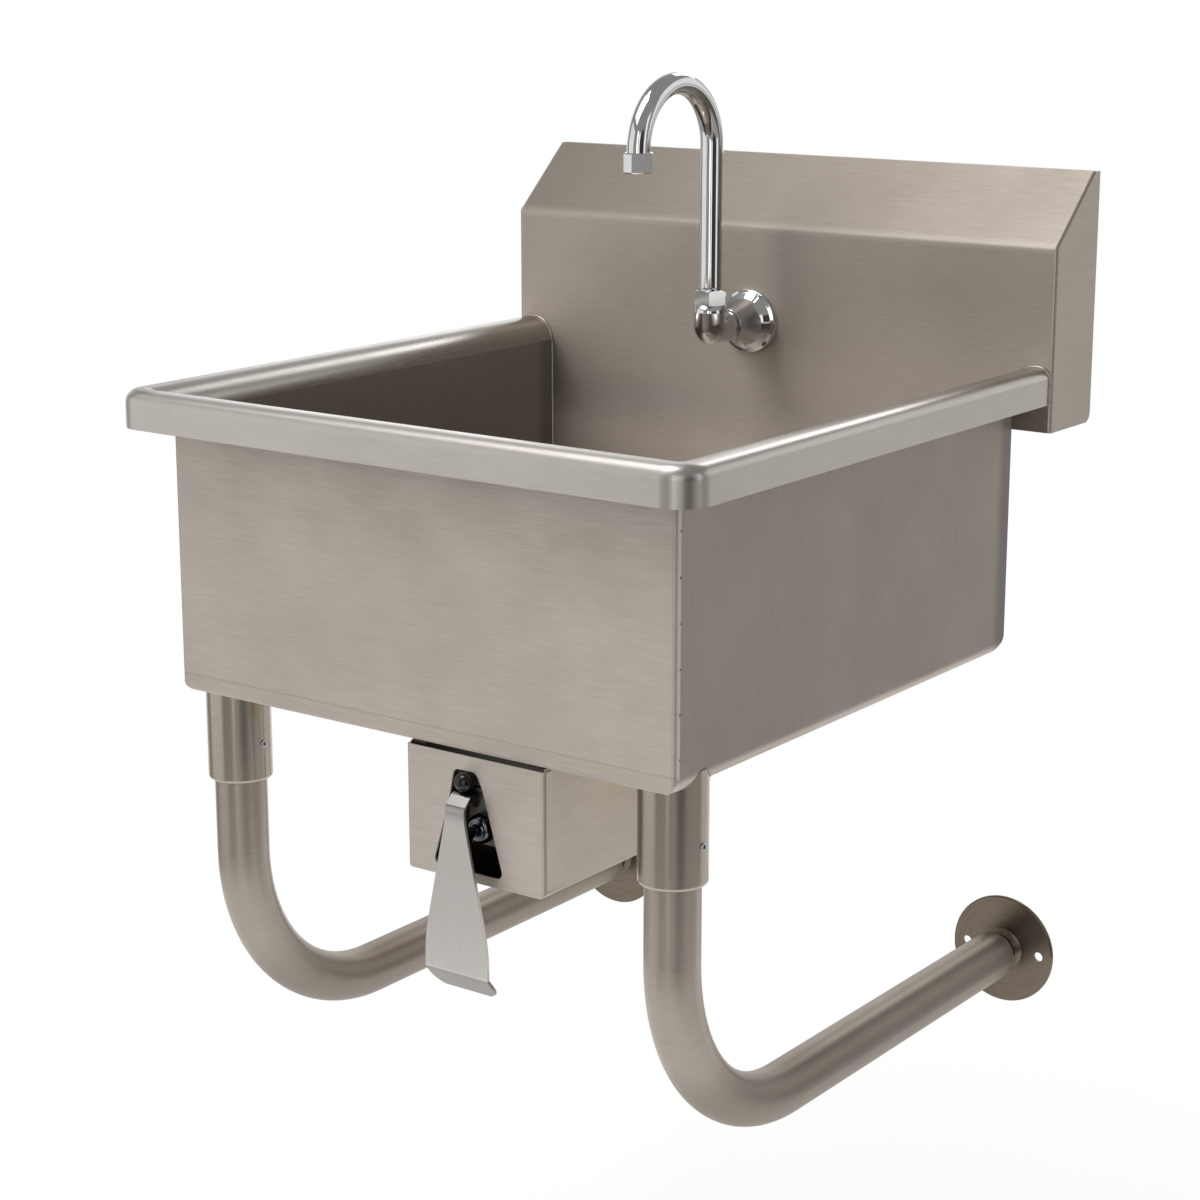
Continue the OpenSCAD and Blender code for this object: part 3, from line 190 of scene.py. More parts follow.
def softbox(name, azimuth, height, distance, width, tall, radiance):
    """A soft area lamp round the sink, aimed at its middle, whose surface has the given radiance."""
    turn = math.radians(azimuth)
    place = MIDDLE + Vector((distance * math.cos(turn), distance * math.sin(turn), height))
    data = bpy.data.lights.new(name, "AREA")
    data.shape = "RECTANGLE"
    data.size = width
    data.size_y = tall
    data.energy = radiance * math.pi * width * tall
    lamp = bpy.data.objects.new(name, data)
    lamp.location = place
    lamp.rotation_euler = (MIDDLE - place).to_track_quat("-Z", "Y").to_euler()
    lamp.visible_camera = False
    bpy.context.collection.objects.link(lamp)


def studio_world():
    """White where the camera looks, and a grey room with one black flag for the metal to reflect."""
    world = bpy.data.worlds.new("studio")
    bpy.context.scene.world = world
    world.use_nodes = True
    tree = world.node_tree
    tree.nodes.clear()
    way = add(tree, "TexCoord", out="Generated")
    behind = (-math.sin(CAMERA_YAW), math.cos(CAMERA_YAW), 0)
    ahead = add(tree, "VectorMath", {"operation": "DOT_PRODUCT"}, way, behind, out="Value")
    backdrop = add(tree, "MapRange", SOFT_STEP, ahead, *BACKDROP_EDGE)
    height = add(tree, "SeparateXYZ", None, way, out="Z")
    level = add(tree, "MapRange", SOFT_STEP, height, *ROOM_EDGE)
    room = add(tree, "Mix", COLOURS, inputs={"Factor": level, "A": linear("#a4a19d"), "B": linear("#92908d")},
               out="Result")
    flag = Vector((math.cos(FLAG_TURN), math.sin(FLAG_TURN), 0))
    beside = add(tree, "VectorMath", {"operation": "DOT_PRODUCT"}, way, flag, out="Value")
    flagged = add(tree, "MapRange", SOFT_STEP, beside, *FLAG_EDGE, 0, 0.9)
    room = add(tree, "Mix", COLOURS, inputs={"Factor": flagged, "A": room, "B": linear("#1e1d1c")},
               out="Result")
    seen = add(tree, "Mix", COLOURS, inputs={"Factor": backdrop, "A": room, "B": (1, 1, 1, 1)}, out="Result")
    glossy = add(tree, "LightPath", out="Is Glossy Ray")
    through = add(tree, "LightPath", out="Is Transmission Ray")
    shiny = add(tree, "Math", MAXIMUM, glossy, through)
    plain = add(tree, "Mix", COLOURS, inputs={"Factor": shiny, "A": linear("#dfdedc"), "B": seen}, out="Result")
    sight = add(tree, "LightPath", out="Is Camera Ray")
    colour = add(tree, "Mix", COLOURS, inputs={"Factor": sight, "A": plain, "B": (1, 1, 1, 1)}, out="Result")
    light = add(tree, "Background", None, colour, 1)
    add(tree, "OutputWorld", None, light)


def studio_floor():
    """A pale round floor that keeps a soft shadow and fades into the white backdrop at its edge."""
    mesh = bpy.data.meshes.new("studio_floor")
    form = bmesh.new()
    bmesh.ops.create_circle(form, cap_ends=True, segments=128, radius=FLOOR_R)
    form.to_mesh(mesh)
    form.free()
    floor = bpy.data.objects.new("studio_floor", mesh)
    floor.location = (MIDDLE.x, MIDDLE.y, FLOOR_Z)
    bpy.context.collection.objects.link(floor)
    paint, tree = blank("pale_floor_paint")
    far = add(tree, "VectorMath", {"operation": "LENGTH"}, rest_place(tree), out="Value")
    edge = add(tree, "MapRange", SOFT_STEP, far, FLOOR_SHADE_R, FLOOR_WHITE_R, 0.80, 1)
    sight = add(tree, "LightPath", out="Is Camera Ray")
    glossy = add(tree, "LightPath", out="Is Glossy Ray")
    through = add(tree, "LightPath", out="Is Transmission Ray")
    clear = add(tree, "Math", MAXIMUM, add(tree, "Math", MAXIMUM, sight, glossy), through)
    share = add(tree, "Math", MULTIPLY, clear, edge)
    matt = add(tree, "BsdfDiffuse", None, linear("#fbfbfa"))
    white = add(tree, "Emission", None, (1, 1, 1, 1), 1)
    add(tree, "OutputMaterial", None, add(tree, "MixShader", None, share, matt, white))
    mesh.materials.append(paint)


# Finishes
def blank(name):
    """A material with no nodes yet, and its tree."""
    made = bpy.data.materials.new(name)
    made.use_nodes = True
    made.node_tree.nodes.clear()
    return made, made.node_tree


def rest_place(tree):
    """Where a point of the surface is, in the frame of the CAD and before any joint moves it."""
    return add(tree, "TexCoord", out="Object")


def rest_along(tree, axis):
    """How far a point of the surface lies along X, Y or Z, before any joint moves it."""
    return add(tree, "SeparateXYZ", None, rest_place(tree), out=axis)


def facing(tree, axis):
    """How far the surface faces along X, Y or Z, from -1 to 1."""
    return add(tree, "SeparateXYZ", None, add(tree, "NewGeometry", out="Normal"), out=axis)


def strokes(tree, place, counts, detail=2):
    """Noise from 0 to 1 with its own count of strokes per metre along each axis of place."""
    spaced = add(tree, "VectorMath", MULTIPLY, place, counts)
    wave = add(tree, "TexNoise", inputs={"Vector": spaced, "Scale": 1, "Detail": detail, "Roughness": 0.5})
    return add(tree, "MapRange", None, wave, 0.3, 0.7)


def grain_counts(tree, axis, across, along):
    """Strokes per metre along each axis, where the grain runs along the given one."""
    less = add(tree, "VectorMath", MULTIPLY, axis, (along - across, along - across, along - across))
    return add(tree, "VectorMath", ADD, (across, across, across), less)


def crossing(tree, axis):
    """The way across the grain, kept off zero on the cut edges that face along the grain."""
    normal = add(tree, "NewGeometry", out="Normal")
    across = add(tree, "VectorMath", {"operation": "CROSS_PRODUCT"}, normal, axis)
    return add(tree, "VectorMath", ADD, across, (0.02, 0.03, 0.05))


# Ways that the grain runs. Each gives (place to draw strokes in, strokes' axis, way the light spreads)
def straight(axis):
    """Grain along one axis everywhere."""
    def lay(tree):
        return rest_place(tree), axis, crossing(tree, axis)
    return lay


def faces_sideways(tree):
    """1 on a surface that faces left or right, and 0 elsewhere."""
    return add(tree, "Math", GREATER, add(tree, "Math", ABSOLUTE, facing(tree, "X")), 0.7)


def wrapped(tree):
    """Upright on the bowl's two sides and level on its rear and bottom."""
    sideways = faces_sideways(tree)
    axis = add(tree, "Mix", COLOURS, inputs={"Factor": sideways, "A": (1, 0, 0, 1), "B": (0, 0, 1, 1)},
               out="Result")
    return rest_place(tree), axis, crossing(tree, axis)


def past_mitre(tree):
    """How far a point of the rim lies past the mitre at its corner: above 0 on its sides, below on its front."""
    from_side = add(tree, "Math", SUBTRACT, RIM_HALF_W, add(tree, "Math", ABSOLUTE, rest_along(tree, "X")))
    from_front = add(tree, "Math", SUBTRACT, rest_along(tree, "Y"), RIM_FRONT_Y)
    return add(tree, "Math", SUBTRACT, from_front, from_side)


def round_rim(tree):
    """Level along the front of the rim and back along its sides, mitred at the corners."""
    on_side = add(tree, "Math", GREATER, past_mitre(tree), 0)
    axis = add(tree, "Mix", COLOURS, inputs={"Factor": on_side, "A": (1, 0, 0, 1), "B": (0, 1, 0, 1)},
               out="Result")
    return rest_place(tree), axis, crossing(tree, axis)


def round_tube(tree):
    """Rings round a leg, by the distance along it: down its upright, round its bend and back to the wall."""
    place = rest_place(tree)
    off = add(tree, "VectorMath", SUBTRACT, place, (0, LEG_BEND_Y, LEG_BEND_Z))
    inward = add(tree, "VectorMath", MULTIPLY,
                 add(tree, "VectorMath", {"operation": "MINIMUM"}, off, (0, 0, 0)), (0, 1, 1))
    past = add(tree, "VectorMath", MAXIMUM, off, (0, 0, 0))
    ahead = add(tree, "VectorMath", MULTIPLY, inward, (-1, -1, -1))
    angle = add(tree, "Math", {"operation": "ARCTAN2"}, add(tree, "SeparateXYZ", None, ahead, out="Z"),
                add(tree, "SeparateXYZ", None, ahead, out="Y"))
    turned = add(tree, "Math", MULTIPLY, angle, LEG_BEND_R)
    upright = add(tree, "Math", SUBTRACT, add(tree, "SeparateXYZ", None, past, out="Z"), turned)
    length = add(tree, "Math", SUBTRACT, upright, add(tree, "SeparateXYZ", None, past, out="Y"))
    flat = add(tree, "CombineXYZ", None, add(tree, "SeparateXYZ", None, place, out="X"), 0, length)
    return flat, (1, 0, 0), add(tree, "VectorMath", {"operation": "CROSS_PRODUCT"}, (1, 0, 0), inward)


def down_pedal(tree):
    """Down the pedal's face and along its arm: light spreads across its width."""
    on_arm = add(tree, "Math", GREATER, rest_along(tree, "Z"), PEDAL_NECK_Z)
    axis = add(tree, "Mix", COLOURS, inputs={"Factor": on_arm, "A": (0, 0, 1, 1), "B": (0, 1, 0, 1)},
               out="Result")
    return rest_place(tree), axis, add(tree, "CombineXYZ", None, 1, 0, 0)


def round_flange(tree):
    """Turned rings on the wall flanges: light fans out in two wedges from their middle."""
    side = add(tree, "Math", {"operation": "SIGN"}, rest_along(tree, "X"))
    centre = add(tree, "CombineXYZ", None, add(tree, "Math", MULTIPLY, side, LEG_X), 0, LEG_RUN_Z)
    off = add(tree, "VectorMath", SUBTRACT, rest_place(tree), centre)
    outward = add(tree, "VectorMath", MULTIPLY, off, (1, 0, 1))
    distance = add(tree, "VectorMath", {"operation": "LENGTH"}, outward, out="Value")
    flat = add(tree, "CombineXYZ", None, rest_along(tree, "X"), rest_along(tree, "Y"), distance)
    return flat, (1, 0, 0), add(tree, "VectorMath", {"operation": "NORMALIZE"}, outward)


def brushed(name, peak, scratch, lay, rough, stretch=0.86, band=0.025, warm="#a89c8d", marks=()):
    """Belt-brushed stainless steel: pale peaks, darker scratches along the grain, wear in clouds some 70 mm
    across and a satin sheen that spreads across the grain. The real scratches are about 0.1 mm wide and some
    20 mm long; these are 0.9 mm wide, the finest that the render can show. Each mark changes the colour or the
    gloss in one place."""
    made, tree = blank(name)
    place, axis, across = lay(tree)
    scratches = strokes(tree, place, grain_counts(tree, axis, FINE_ACROSS, FINE_ALONG), 1)
    broad = strokes(tree, place, grain_counts(tree, axis, BROAD_ACROSS, BROAD_ALONG))
    bands = add(tree, "MapRange", None, broad, 0, 1, 0, band)
    clouds = strokes(tree, rest_place(tree), (14, 14, 14))
    wear = add(tree, "MapRange", None, clouds, 0, 1, 0, 0.10)
    lit = add(tree, "MapRange", None, scratches, 0, 1, 0.3, 1)
    base = add(tree, "Mix", COLOURS, inputs={"Factor": lit, "A": linear(scratch), "B": linear(peak)},
               out="Result")
    base = add(tree, "Mix", COLOURS, inputs={"Factor": bands, "A": base, "B": linear(scratch)}, out="Result")
    base = add(tree, "Mix", COLOURS, inputs={"Factor": wear, "A": base, "B": linear(warm)}, out="Result")
    gloss = add(tree, "Math", ADD, add(tree, "MapRange", None, scratches, 0, 1, 0.02, -0.02),
                add(tree, "MapRange", None, clouds, 0, 1, rough - 0.02, rough + 0.03))
    for mark in marks:
        base, gloss = mark(tree, base, gloss)
    relief = add(tree, "Bump", inputs={"Strength": 0.015, "Distance": 0.0001, "Height": scratches})
    surface = {"Base Color": base, "Roughness": gloss, "Normal": relief, "Tangent": across, "Metallic": 1,
               "Anisotropic": stretch}
    add(tree, "OutputMaterial", None, add(tree, "BsdfPrincipled", inputs=surface))
    return made


# Marks on a brushed finish. Each takes and gives (colour, roughness); most of them paint shade, highlights or a
# reflection into the colour
def bend_line(tree, base, gloss):
    """Painted shade at the front panel's bottom bend: a fine dark line along the bend and a slightly darker band
    under it.
    """
    height = rest_along(tree, "Z")
    near = add(tree, "Math", ABSOLUTE, add(tree, "Math", SUBTRACT, height, CREASE_Z))
    line = add(tree, "MapRange", None, near, 0.3 * MM, 1.0 * MM, 0.20, 0)
    below = add(tree, "Math", MULTIPLY, add(tree, "Math", LESS, height, CREASE_Z), 0.05)
    share = add(tree, "Math", MAXIMUM, line, below)
    return add(tree, "Mix", COLOURS, inputs={"Factor": share, "A": base, "B": linear("#7c756e")},
               out="Result"), gloss


def fold_line(tree, base, gloss):
    """A painted highlight along the splash's upper bend: a pale line where a rounded fold would catch the light.
    """
    near = add(tree, "Math", ABSOLUTE, add(tree, "Math", SUBTRACT, rest_along(tree, "Z"), FOLD_Z))
    share = add(tree, "MapRange", SOFT_STEP, near, 0.2 * MM, 6.0 * MM, 0.26, 0)
    return add(tree, "Mix", COLOURS, inputs={"Factor": share, "A": base, "B": linear("#efe9e2")},
               out="Result"), gloss


def run_scuffs(tree, base, gloss):
    """The legs' level runs get painted shade, a darker colour, and are made rougher."""
    low = add(tree, "MapRange", SOFT_STEP, rest_along(tree, "Z"), LEG_RUN_Z + 0.02, LEG_RUN_Z + 0.08, 0.6, 0)
    base = add(tree, "Mix", COLOURS, inputs={"Factor": low, "A": base, "B": linear("#857c72")}, out="Result")
    return base, add(tree, "Math", ADD, gloss, add(tree, "Math", MULTIPLY, low, 0.2))


def far_end(tree, base, gloss):
    """Painted shade and light on the splash: its face is painted darker towards its right end and paler
    downwards, on into the bowl's wall under it, and its slant is painted darker towards the left."""
    side, height = rest_along(tree, "X"), rest_along(tree, "Z")
    on_slant = add(tree, "MapRange", None, height, FOLD_Z - 3 * MM, FOLD_Z + 3 * MM)
    face = add(tree, "MapRange", SOFT_STEP, side, 0.02, 0.22, 1, 0.80)
    slant = add(tree, "MapRange", None, side, -0.25, 0.20, 0.84, 0.98)
    level = add(tree, "Mix", inputs={"Factor": on_slant, "A": face, "B": slant}, out="Result")
    lower = add(tree, "MapRange", SOFT_STEP, height, FACE_LOW_Z, FACE_LOW_Z + 0.12, 1.30, 1)
    shade = add(tree, "Math", MULTIPLY, level, lower)
    return add(tree, "VectorMath", MULTIPLY, base, add(tree, "CombineXYZ", None, shade, shade, shade)), gloss


def wrap_shades(tree, base, gloss):
    """Painted shade and light on the bowl: its rear wall is painted in the splash's darker shade at its top, so
    that no line shows where the two are welded and blended, and is painted paler and made rougher below. The
    sides get a painted dark cool band as shade at their rear bend, and painted shade on their faces inside the
    bowl."""
    sideways = faces_sideways(tree)
    rear = add(tree, "Math", SUBTRACT, 1, sideways)
    high = add(tree, "MapRange", SOFT_STEP, rest_along(tree, "Z"), FACE_LOW_Z - 0.05, FACE_LOW_Z)
    dull = add(tree, "VectorMath", MULTIPLY, far_end(tree, base, gloss)[0], (0.83, 0.83, 0.83))
    pale = add(tree, "VectorMath", MULTIPLY, base, (1.35, 1.35, 1.35))
    wall = add(tree, "Mix", COLOURS, inputs={"Factor": high, "A": pale, "B": dull}, out="Result")
    base = add(tree, "Mix", COLOURS, inputs={"Factor": rear, "A": base, "B": wall}, out="Result")
    rougher = add(tree, "Math", MULTIPLY, rear, add(tree, "MapRange", SOFT_STEP, high, 0, 1, 0.2, 0))
    band = add(tree, "MapRange", SOFT_STEP, rest_along(tree, "Y"), FACE_Y - 0.024, FACE_Y - 0.010, 0, 0.6)
    share = add(tree, "Math", MULTIPLY, band, sideways)
    base = add(tree, "Mix", COLOURS, inputs={"Factor": share, "A": base, "B": linear("#8f8d92")}, out="Result")
    outward = add(tree, "Math", MULTIPLY, facing(tree, "X"), rest_along(tree, "X"))
    inside = add(tree, "Math", MULTIPLY, add(tree, "Math", LESS, outward, 0), sideways)
    mill = add(tree, "VectorMath", MULTIPLY, base, (0.70, 0.72, 0.70))
    base = add(tree, "Mix", COLOURS, inputs={"Factor": inside, "A": base, "B": mill}, out="Result")
    return base, add(tree, "Math", ADD, gloss, rougher)


def rim_sides(tree, base, gloss):
    """The rim's sides are buffed glossier than its front, which is brushed over, and the flat top of the left
    one gets painted shade, a darker colour."""
    on_side = add(tree, "MapRange", SOFT_STEP, past_mitre(tree), -0.01, 0.01, 0.02, -0.04)
    top = add(tree, "MapRange", SOFT_STEP, facing(tree, "Z"), 0.78, 0.97, 0, 0.65)
    left = add(tree, "MapRange", SOFT_STEP, rest_along(tree, "X"), -0.24, -0.22, 1, 0)
    dull = add(tree, "Math", MULTIPLY, top, left)
    base = add(tree, "Mix", COLOURS, inputs={"Factor": dull, "A": base, "B": linear("#6f6a64")}, out="Result")
    return base, add(tree, "Math", ADD, gloss, on_side)


def box_channel(tree, base, gloss):
    """Painted shade inside the box, a dark colour, and outside a faint painted straw-coloured reflection near
    its back.
    """
    spot = add(tree, "VectorMath", {"operation": "DISTANCE"}, rest_place(tree), BOX_HEATED, out="Value")
    tint = add(tree, "MapRange", SOFT_STEP, spot, 4 * MM, 36 * MM, 0.45, 0)
    base = add(tree, "Mix", COLOURS, inputs={"Factor": tint, "A": base, "B": linear("#d2bf9f")}, out="Result")
    off = add(tree, "VectorMath", ABSOLUTE, add(tree, "VectorMath", SUBTRACT, rest_place(tree), BOX_MIDDLE))
    past = add(tree, "VectorMath", MAXIMUM, add(tree, "VectorMath", SUBTRACT, off, BOX_HALF), (0, 0, 0))
    beyond = add(tree, "VectorMath", {"operation": "LENGTH"}, past, out="Value")
    outside = add(tree, "Math", GREATER, beyond, 0.01 * MM)
    return add(tree, "Mix", COLOURS, inputs={"Factor": outside, "A": linear("#4a4641"), "B": base},
               out="Result"), gloss


def pedal_ends(tree, base, gloss):
    """The pedal's neck and arm are polished smoother and painted darker, a painted dark reflection, and its lip
    gets painted shade.
    """
    height = rest_along(tree, "Z")
    neck = add(tree, "MapRange", SOFT_STEP, height, PEDAL_NECK_Z - 14 * MM, PEDAL_NECK_Z + 2 * MM)
    darker = add(tree, "Math", MULTIPLY, neck, 0.75)
    base = add(tree, "Mix", COLOURS, inputs={"Factor": darker, "A": base, "B": linear("#7b7977")}, out="Result")
    bright = add(tree, "Math", MULTIPLY, neck, -0.17)
    scuffed = add(tree, "MapRange", None, height, PEDAL_LIP_Z - 2 * MM, PEDAL_LIP_Z, 0.80, 0)
    base = add(tree, "Mix", COLOURS, inputs={"Factor": scuffed, "A": base, "B": linear("#84807b")},
               out="Result")
    return base, add(tree, "Math", ADD, gloss, bright)


def polished(name, colour, shade, rough, mark):
    """Plated or buffed metal: a near mirror, with faint haze and wipe marks some 20 mm across, which add up to
    twice mark to its roughness."""
    made, tree = blank(name)
    haze = strokes(tree, rest_place(tree), (45, 45, 45))
    wipe = strokes(tree, rest_place(tree), (60, 60, 140))
    base = add(tree, "Mix", COLOURS, inputs={"Factor": haze, "A": linear(colour), "B": linear(shade)},
               out="Result")
    gloss = add(tree, "Math", ADD, add(tree, "MapRange", None, wipe, 0, 1, 0, mark),
                add(tree, "MapRange", None, haze, 0, 1, rough, rough + mark))
    surface = {"Base Color": base, "Roughness": gloss, "Metallic": 1}
    add(tree, "OutputMaterial", None, add(tree, "BsdfPrincipled", inputs=surface))
    return made


def moulded(name, colour, shade, rough, grit, metallic=0):
    """Rubber, plastic, cast or rolled metal: a fine grit of the given count per metre over a mottled colour."""
    made, tree = blank(name)
    dots = strokes(tree, rest_place(tree), (grit, grit, grit))
    clouds = strokes(tree, rest_place(tree), (30, 30, 30))
    base = add(tree, "Mix", COLOURS, inputs={"Factor": clouds, "A": linear(colour), "B": linear(shade)},
               out="Result")
    relief = add(tree, "Bump", inputs={"Strength": 0.14, "Distance": 0.0002, "Height": dots})
    gloss = add(tree, "MapRange", None, dots, 0, 1, rough - 0.06, rough + 0.06)
    surface = {"Base Color": base, "Roughness": gloss, "Normal": relief, "Metallic": metallic}
    add(tree, "OutputMaterial", None, add(tree, "BsdfPrincipled", inputs=surface))
    return made


photo_camera()
studio_world()
studio_floor()
# Lamps: azimuth, height over the bowl, distance, width and height of the face, radiance
LAMPS = {
    "key_left": (224, 0.30, 2.8, 2.9, 2.8, 0.60),
    "strip_front": (289, 0.5, 3.0, 0.45, 2.4, 2.1),
    "fill_right": (60, -0.65, 3.0, 2.4, 1.4, 0.34),
    "fill_high": (55, 0.95, 3.2, 2.6, 1.6, 0.60),
    "overhead": (232, 1.95, 1.25, 1.7, 1.2, 1.8),
    "slant_fill": (193, 1.75, 1.3, 1.1, 0.9, 0.1),
    "back_top": (93, 1.75, 2.2, 0.9, 1.2, 2.1),
    "front_card": (307, 0.55, 3.3, 0.7, 2.0, 0.9),
    "right_card": (4, 0.70, 3.2, 0.8, 2.0, 0.8),
    "back_glow": (124, 0.95, 3.2, 1.8, 0.8, 1.25),
    "corner_fill": (237, 2.1, 0.6, 1.1, 0.7, 5.5),
}
for lamp_name, lamp in LAMPS.items():
    softbox(lamp_name, *lamp)

bpy.context.scene.view_settings.view_transform = "Standard"

LEVEL = straight((1, 0, 0))
DEPTH = straight((0, 1, 0))

# No. 4 brushed type 304 sheet, belt run along X: the splash, its colour painted darker than the front panel's as
# painted shade, with a painted highlight on its fold and painted shade and light along it
SHEET_SPLASH = brushed("brushed_304_sheet_splash", "#bbb2a9", "#b2a9a0", LEVEL, 0.55,
                       marks=[fold_line, far_end])
# The front plate of the valve box, of paler sheet
SHEET_LEVEL = brushed("brushed_304_sheet_level", "#d5cdc5", "#ccc4bb", LEVEL, 0.55)
# The front panel, of the same sheet, with painted shade at its bottom bend
SHEET_FRONT = brushed("brushed_304_sheet_front", "#d4cbc3", "#cbc2ba", LEVEL, 0.55, marks=[bend_line])
# The same sheet round the bowl: upright grain on its sides, level on its rear and bottom, with painted shade and
# light on its rear wall and sides
SHEET_WRAP = brushed("brushed_304_sheet_wrap", "#cbc2ba", "#c2b9b1", wrapped, 0.56, marks=[wrap_shades])
# Rims are buffed after welding, so they are smoother, paler and colder than the sheet; the top of the left rim
# gets painted shade
RIM_BUFFED = brushed("buffed_304_rim", "#c6c1bc", "#beb9b4", round_rim, 0.34, stretch=0.3, band=0.02,
                     warm="#b3ada6", marks=[rim_sides])
# End caps of thin sheet, brushed along Y; their colour is painted darker than the front panel's sheet, as
# painted shade
SHEET_DEPTH = brushed("brushed_304_sheet_depth", "#b8b0a7", "#afa79e", DEPTH, 0.40, stretch=0.3)
# Channel of the box: thin sheet brushed along Y, with painted shade inside and a painted reflection outside
SHEET_BOX = brushed("brushed_304_sheet_box", "#cdc4ba", "#c4bab0", DEPTH, 0.45, marks=[box_channel])
# Tube polished round its girth: long bands of light along it; its level runs get painted shade
TUBE = brushed("polished_304_tube", "#aba298", "#a2998f", round_tube, 0.31, stretch=0.6, marks=[run_scuffs])
# Shorter and closer bands on the sockets, turned before they are welded on
SOCKET = brushed("turned_304_socket", "#b7aea4", "#aea59b", round_tube, 0.22, stretch=0.6)
# Spun and faced flange: its colour is painted dark, painted shade between its sheens
FLANGE_SPUN = brushed("faced_304_flange", "#7b7064", "#6b6155", round_flange, 0.36, stretch=0.85)
# Hot-rolled strip, pickled: dull mottled grey
STRIP = moulded("pickled_steel_strip", "#8d8a86", "#7b7874", 0.48, 900, 1)
# Bright nickel-chrome plate over brass: mirror with a cold tint
CHROME = polished("chrome_plate", "#e2e3e4", "#dadcde", 0.06, 0.01)
# The valve's bonnet and stem: nickel plate worn smooth, its colour painted dark as painted shade inside the box
NICKEL = polished("nickel_plate_painted_dark", "#77787b", "#66676a", 0.13, 0.02)
# Drain cup and basket: machine-polished 304, softer than chrome
DRAIN = polished("machine_polished_304", "#b9b3ab", "#aaa49c", 0.16, 0.05)
# Satin face of the pedal: polished plate rubbed with a fine pad along its length; its neck, arm and lip are
# painted darker as reflection and shade
SATIN = brushed("satin_polished_pedal", "#dedbd7", "#d7d4cf", down_pedal, 0.36, stretch=0.6, warm="#bdb8b2",
                marks=[pedal_ends])
# Zinc plated screws: cold bright grey
ZINC = polished("bright_zinc_plate", "#c3c9cd", "#a9b0b6", 0.18, 0.06)
# Turned brass, tarnished a little
BRASS = polished("turned_brass", "#b49353", "#96793f", 0.24, 0.08)
# Nitrile rubber: near black and smooth from its mould
RUBBER = moulded("moulded_black_rubber", "#131313", "#1b1a1a", 0.30, 700)
# Glossy ball of the bumper: polished black rubber
BALL = moulded("glossy_black_rubber", "#070707", "#0c0b0b", 0.10, 300)
# Acetal inserts of the aerator and the legs' ends: matt moulded plastic
PLASTIC = moulded("moulded_grey_acetal", "#8b8c8c", "#7d7e7e", 0.45, 800)
# Weld metal: straw-tinted ripples, brushed over
WELD = polished("brushed_weld_metal", "#b9b0a5", "#9f958a", 0.30, 0.08)
# Tack welds left as they cooled: brown heat tint round a dull bead
TACK = polished("heat_tinted_tack", "#8a8076", "#736960", 0.34, 0.08)

FINISHES = {
    "bowl_wrap": SHEET_WRAP, "bowl_front": SHEET_FRONT, "rolled_rim": RIM_BUFFED, "backsplash": SHEET_SPLASH,
    "splash_end_left": SHEET_DEPTH, "splash_end_right": SHEET_DEPTH, "wall_hanger": STRIP,
    "drain_flange": DRAIN, "drain_gasket": RUBBER, "drain_locknut": BRASS, "strainer_basket": DRAIN,
    "tailpiece": CHROME, "tailpiece_nut": CHROME,
    "leg_socket_left": SOCKET, "leg_socket_right": SOCKET, "socket_screws": ZINC,
    "leg_left": TUBE, "leg_right": TUBE, "leg_insert_left": PLASTIC, "leg_insert_right": PLASTIC,
    "wall_flange_left": FLANGE_SPUN, "wall_flange_right": FLANGE_SPUN,
    "valve_box": SHEET_BOX, "box_front": SHEET_LEVEL, "knee_pedal": SATIN, "pedal_pin": ZINC,
    "pivot_bracket": STRIP, "pedal_bumper": BALL, "valve_body": BRASS, "valve_bonnet": NICKEL,
    "valve_stem": NICKEL, "stem_seal": RUBBER, "supply_nipples": BRASS, "outlet_nipple": BRASS,
    "valve_screws": ZINC, "tap_flange": CHROME, "tap_shank": BRASS, "shank_washer": RUBBER,
    "shank_locknut": BRASS, "tap_elbow": CHROME, "swivel_nut": CHROME, "gooseneck": CHROME,
    "aerator_housing": CHROME, "aerator_insert": PLASTIC,
}
for node_name, finish in FINISHES.items():
    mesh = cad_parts[node_name].data
    mesh.materials.clear()
    mesh.materials.append(finish)


# Pieces
def piece(name, points, faces, finish, body, slot, smooth=True):
    """One closed mesh with the given finish that rides on a body. The slot is not used."""
    mesh = bpy.data.meshes.new(name)
    mesh.from_pydata([tuple(p) for p in points], [], faces)
    mesh.validate()
    form = bmesh.new()
    form.from_mesh(mesh)
    bmesh.ops.recalc_face_normals(form, faces=form.faces)
    for face in form.faces:
        face.smooth = smooth
    form.to_mesh(mesh)
    form.free()
    mesh.materials.append(finish)
    made = bpy.data.objects.new(name, mesh)
    bpy.context.collection.objects.link(made)
    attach(made, body)
    return made


def turns(count, shift=0):
    """Angles at even steps once round."""
    return [2 * math.pi * (k + shift) / count for k in range(count)]


def square_to(axis):
    """The axis as a unit vector, and two more that are square to it and to each other."""
    axis = Vector(axis).normalized()
    one = axis.orthogonal().normalized()
    return axis, one, axis.cross(one)


def ring(centre, one, two, count):
    """Points round an ellipse with the half axes one and two."""
    return [Vector(centre) + math.cos(t) * one + math.sin(t) * two for t in turns(count)]


def skin(rings, loop=False):
    """Points and faces of a closed surface over rings of points: round a loop of them, or with two flat ends."""
    sides, count = len(rings[0]), len(rings)
    points = [point for points_of_ring in rings for point in points_of_ring]
    faces = []
    for k in range(count if loop else count - 1):
        a, b = k * sides, (k + 1) % count * sides
        faces += [(a + j, a + (j + 1) % sides, b + (j + 1) % sides, b + j) for j in range(sides)]
    if not loop:
        faces += [tuple(range(sides)), tuple(range((count - 1) * sides, count * sides))]
    return points, faces


def joined(parts):
    """Several (points, faces) as one."""
    points, faces = [], []
    for some, their in parts:
        faces += [tuple(i + len(points) for i in face) for face in their]
        points += some
    return points, faces


def dense(path, step):
    """The path with points no further apart than step."""
    out = [path[0]]
    for a, b in zip(path, path[1:]):
        parts = max(1, math.ceil((b - a).length / step))
        out += [a.lerp(b, k / parts) for k in range(1, parts + 1)]
    return out


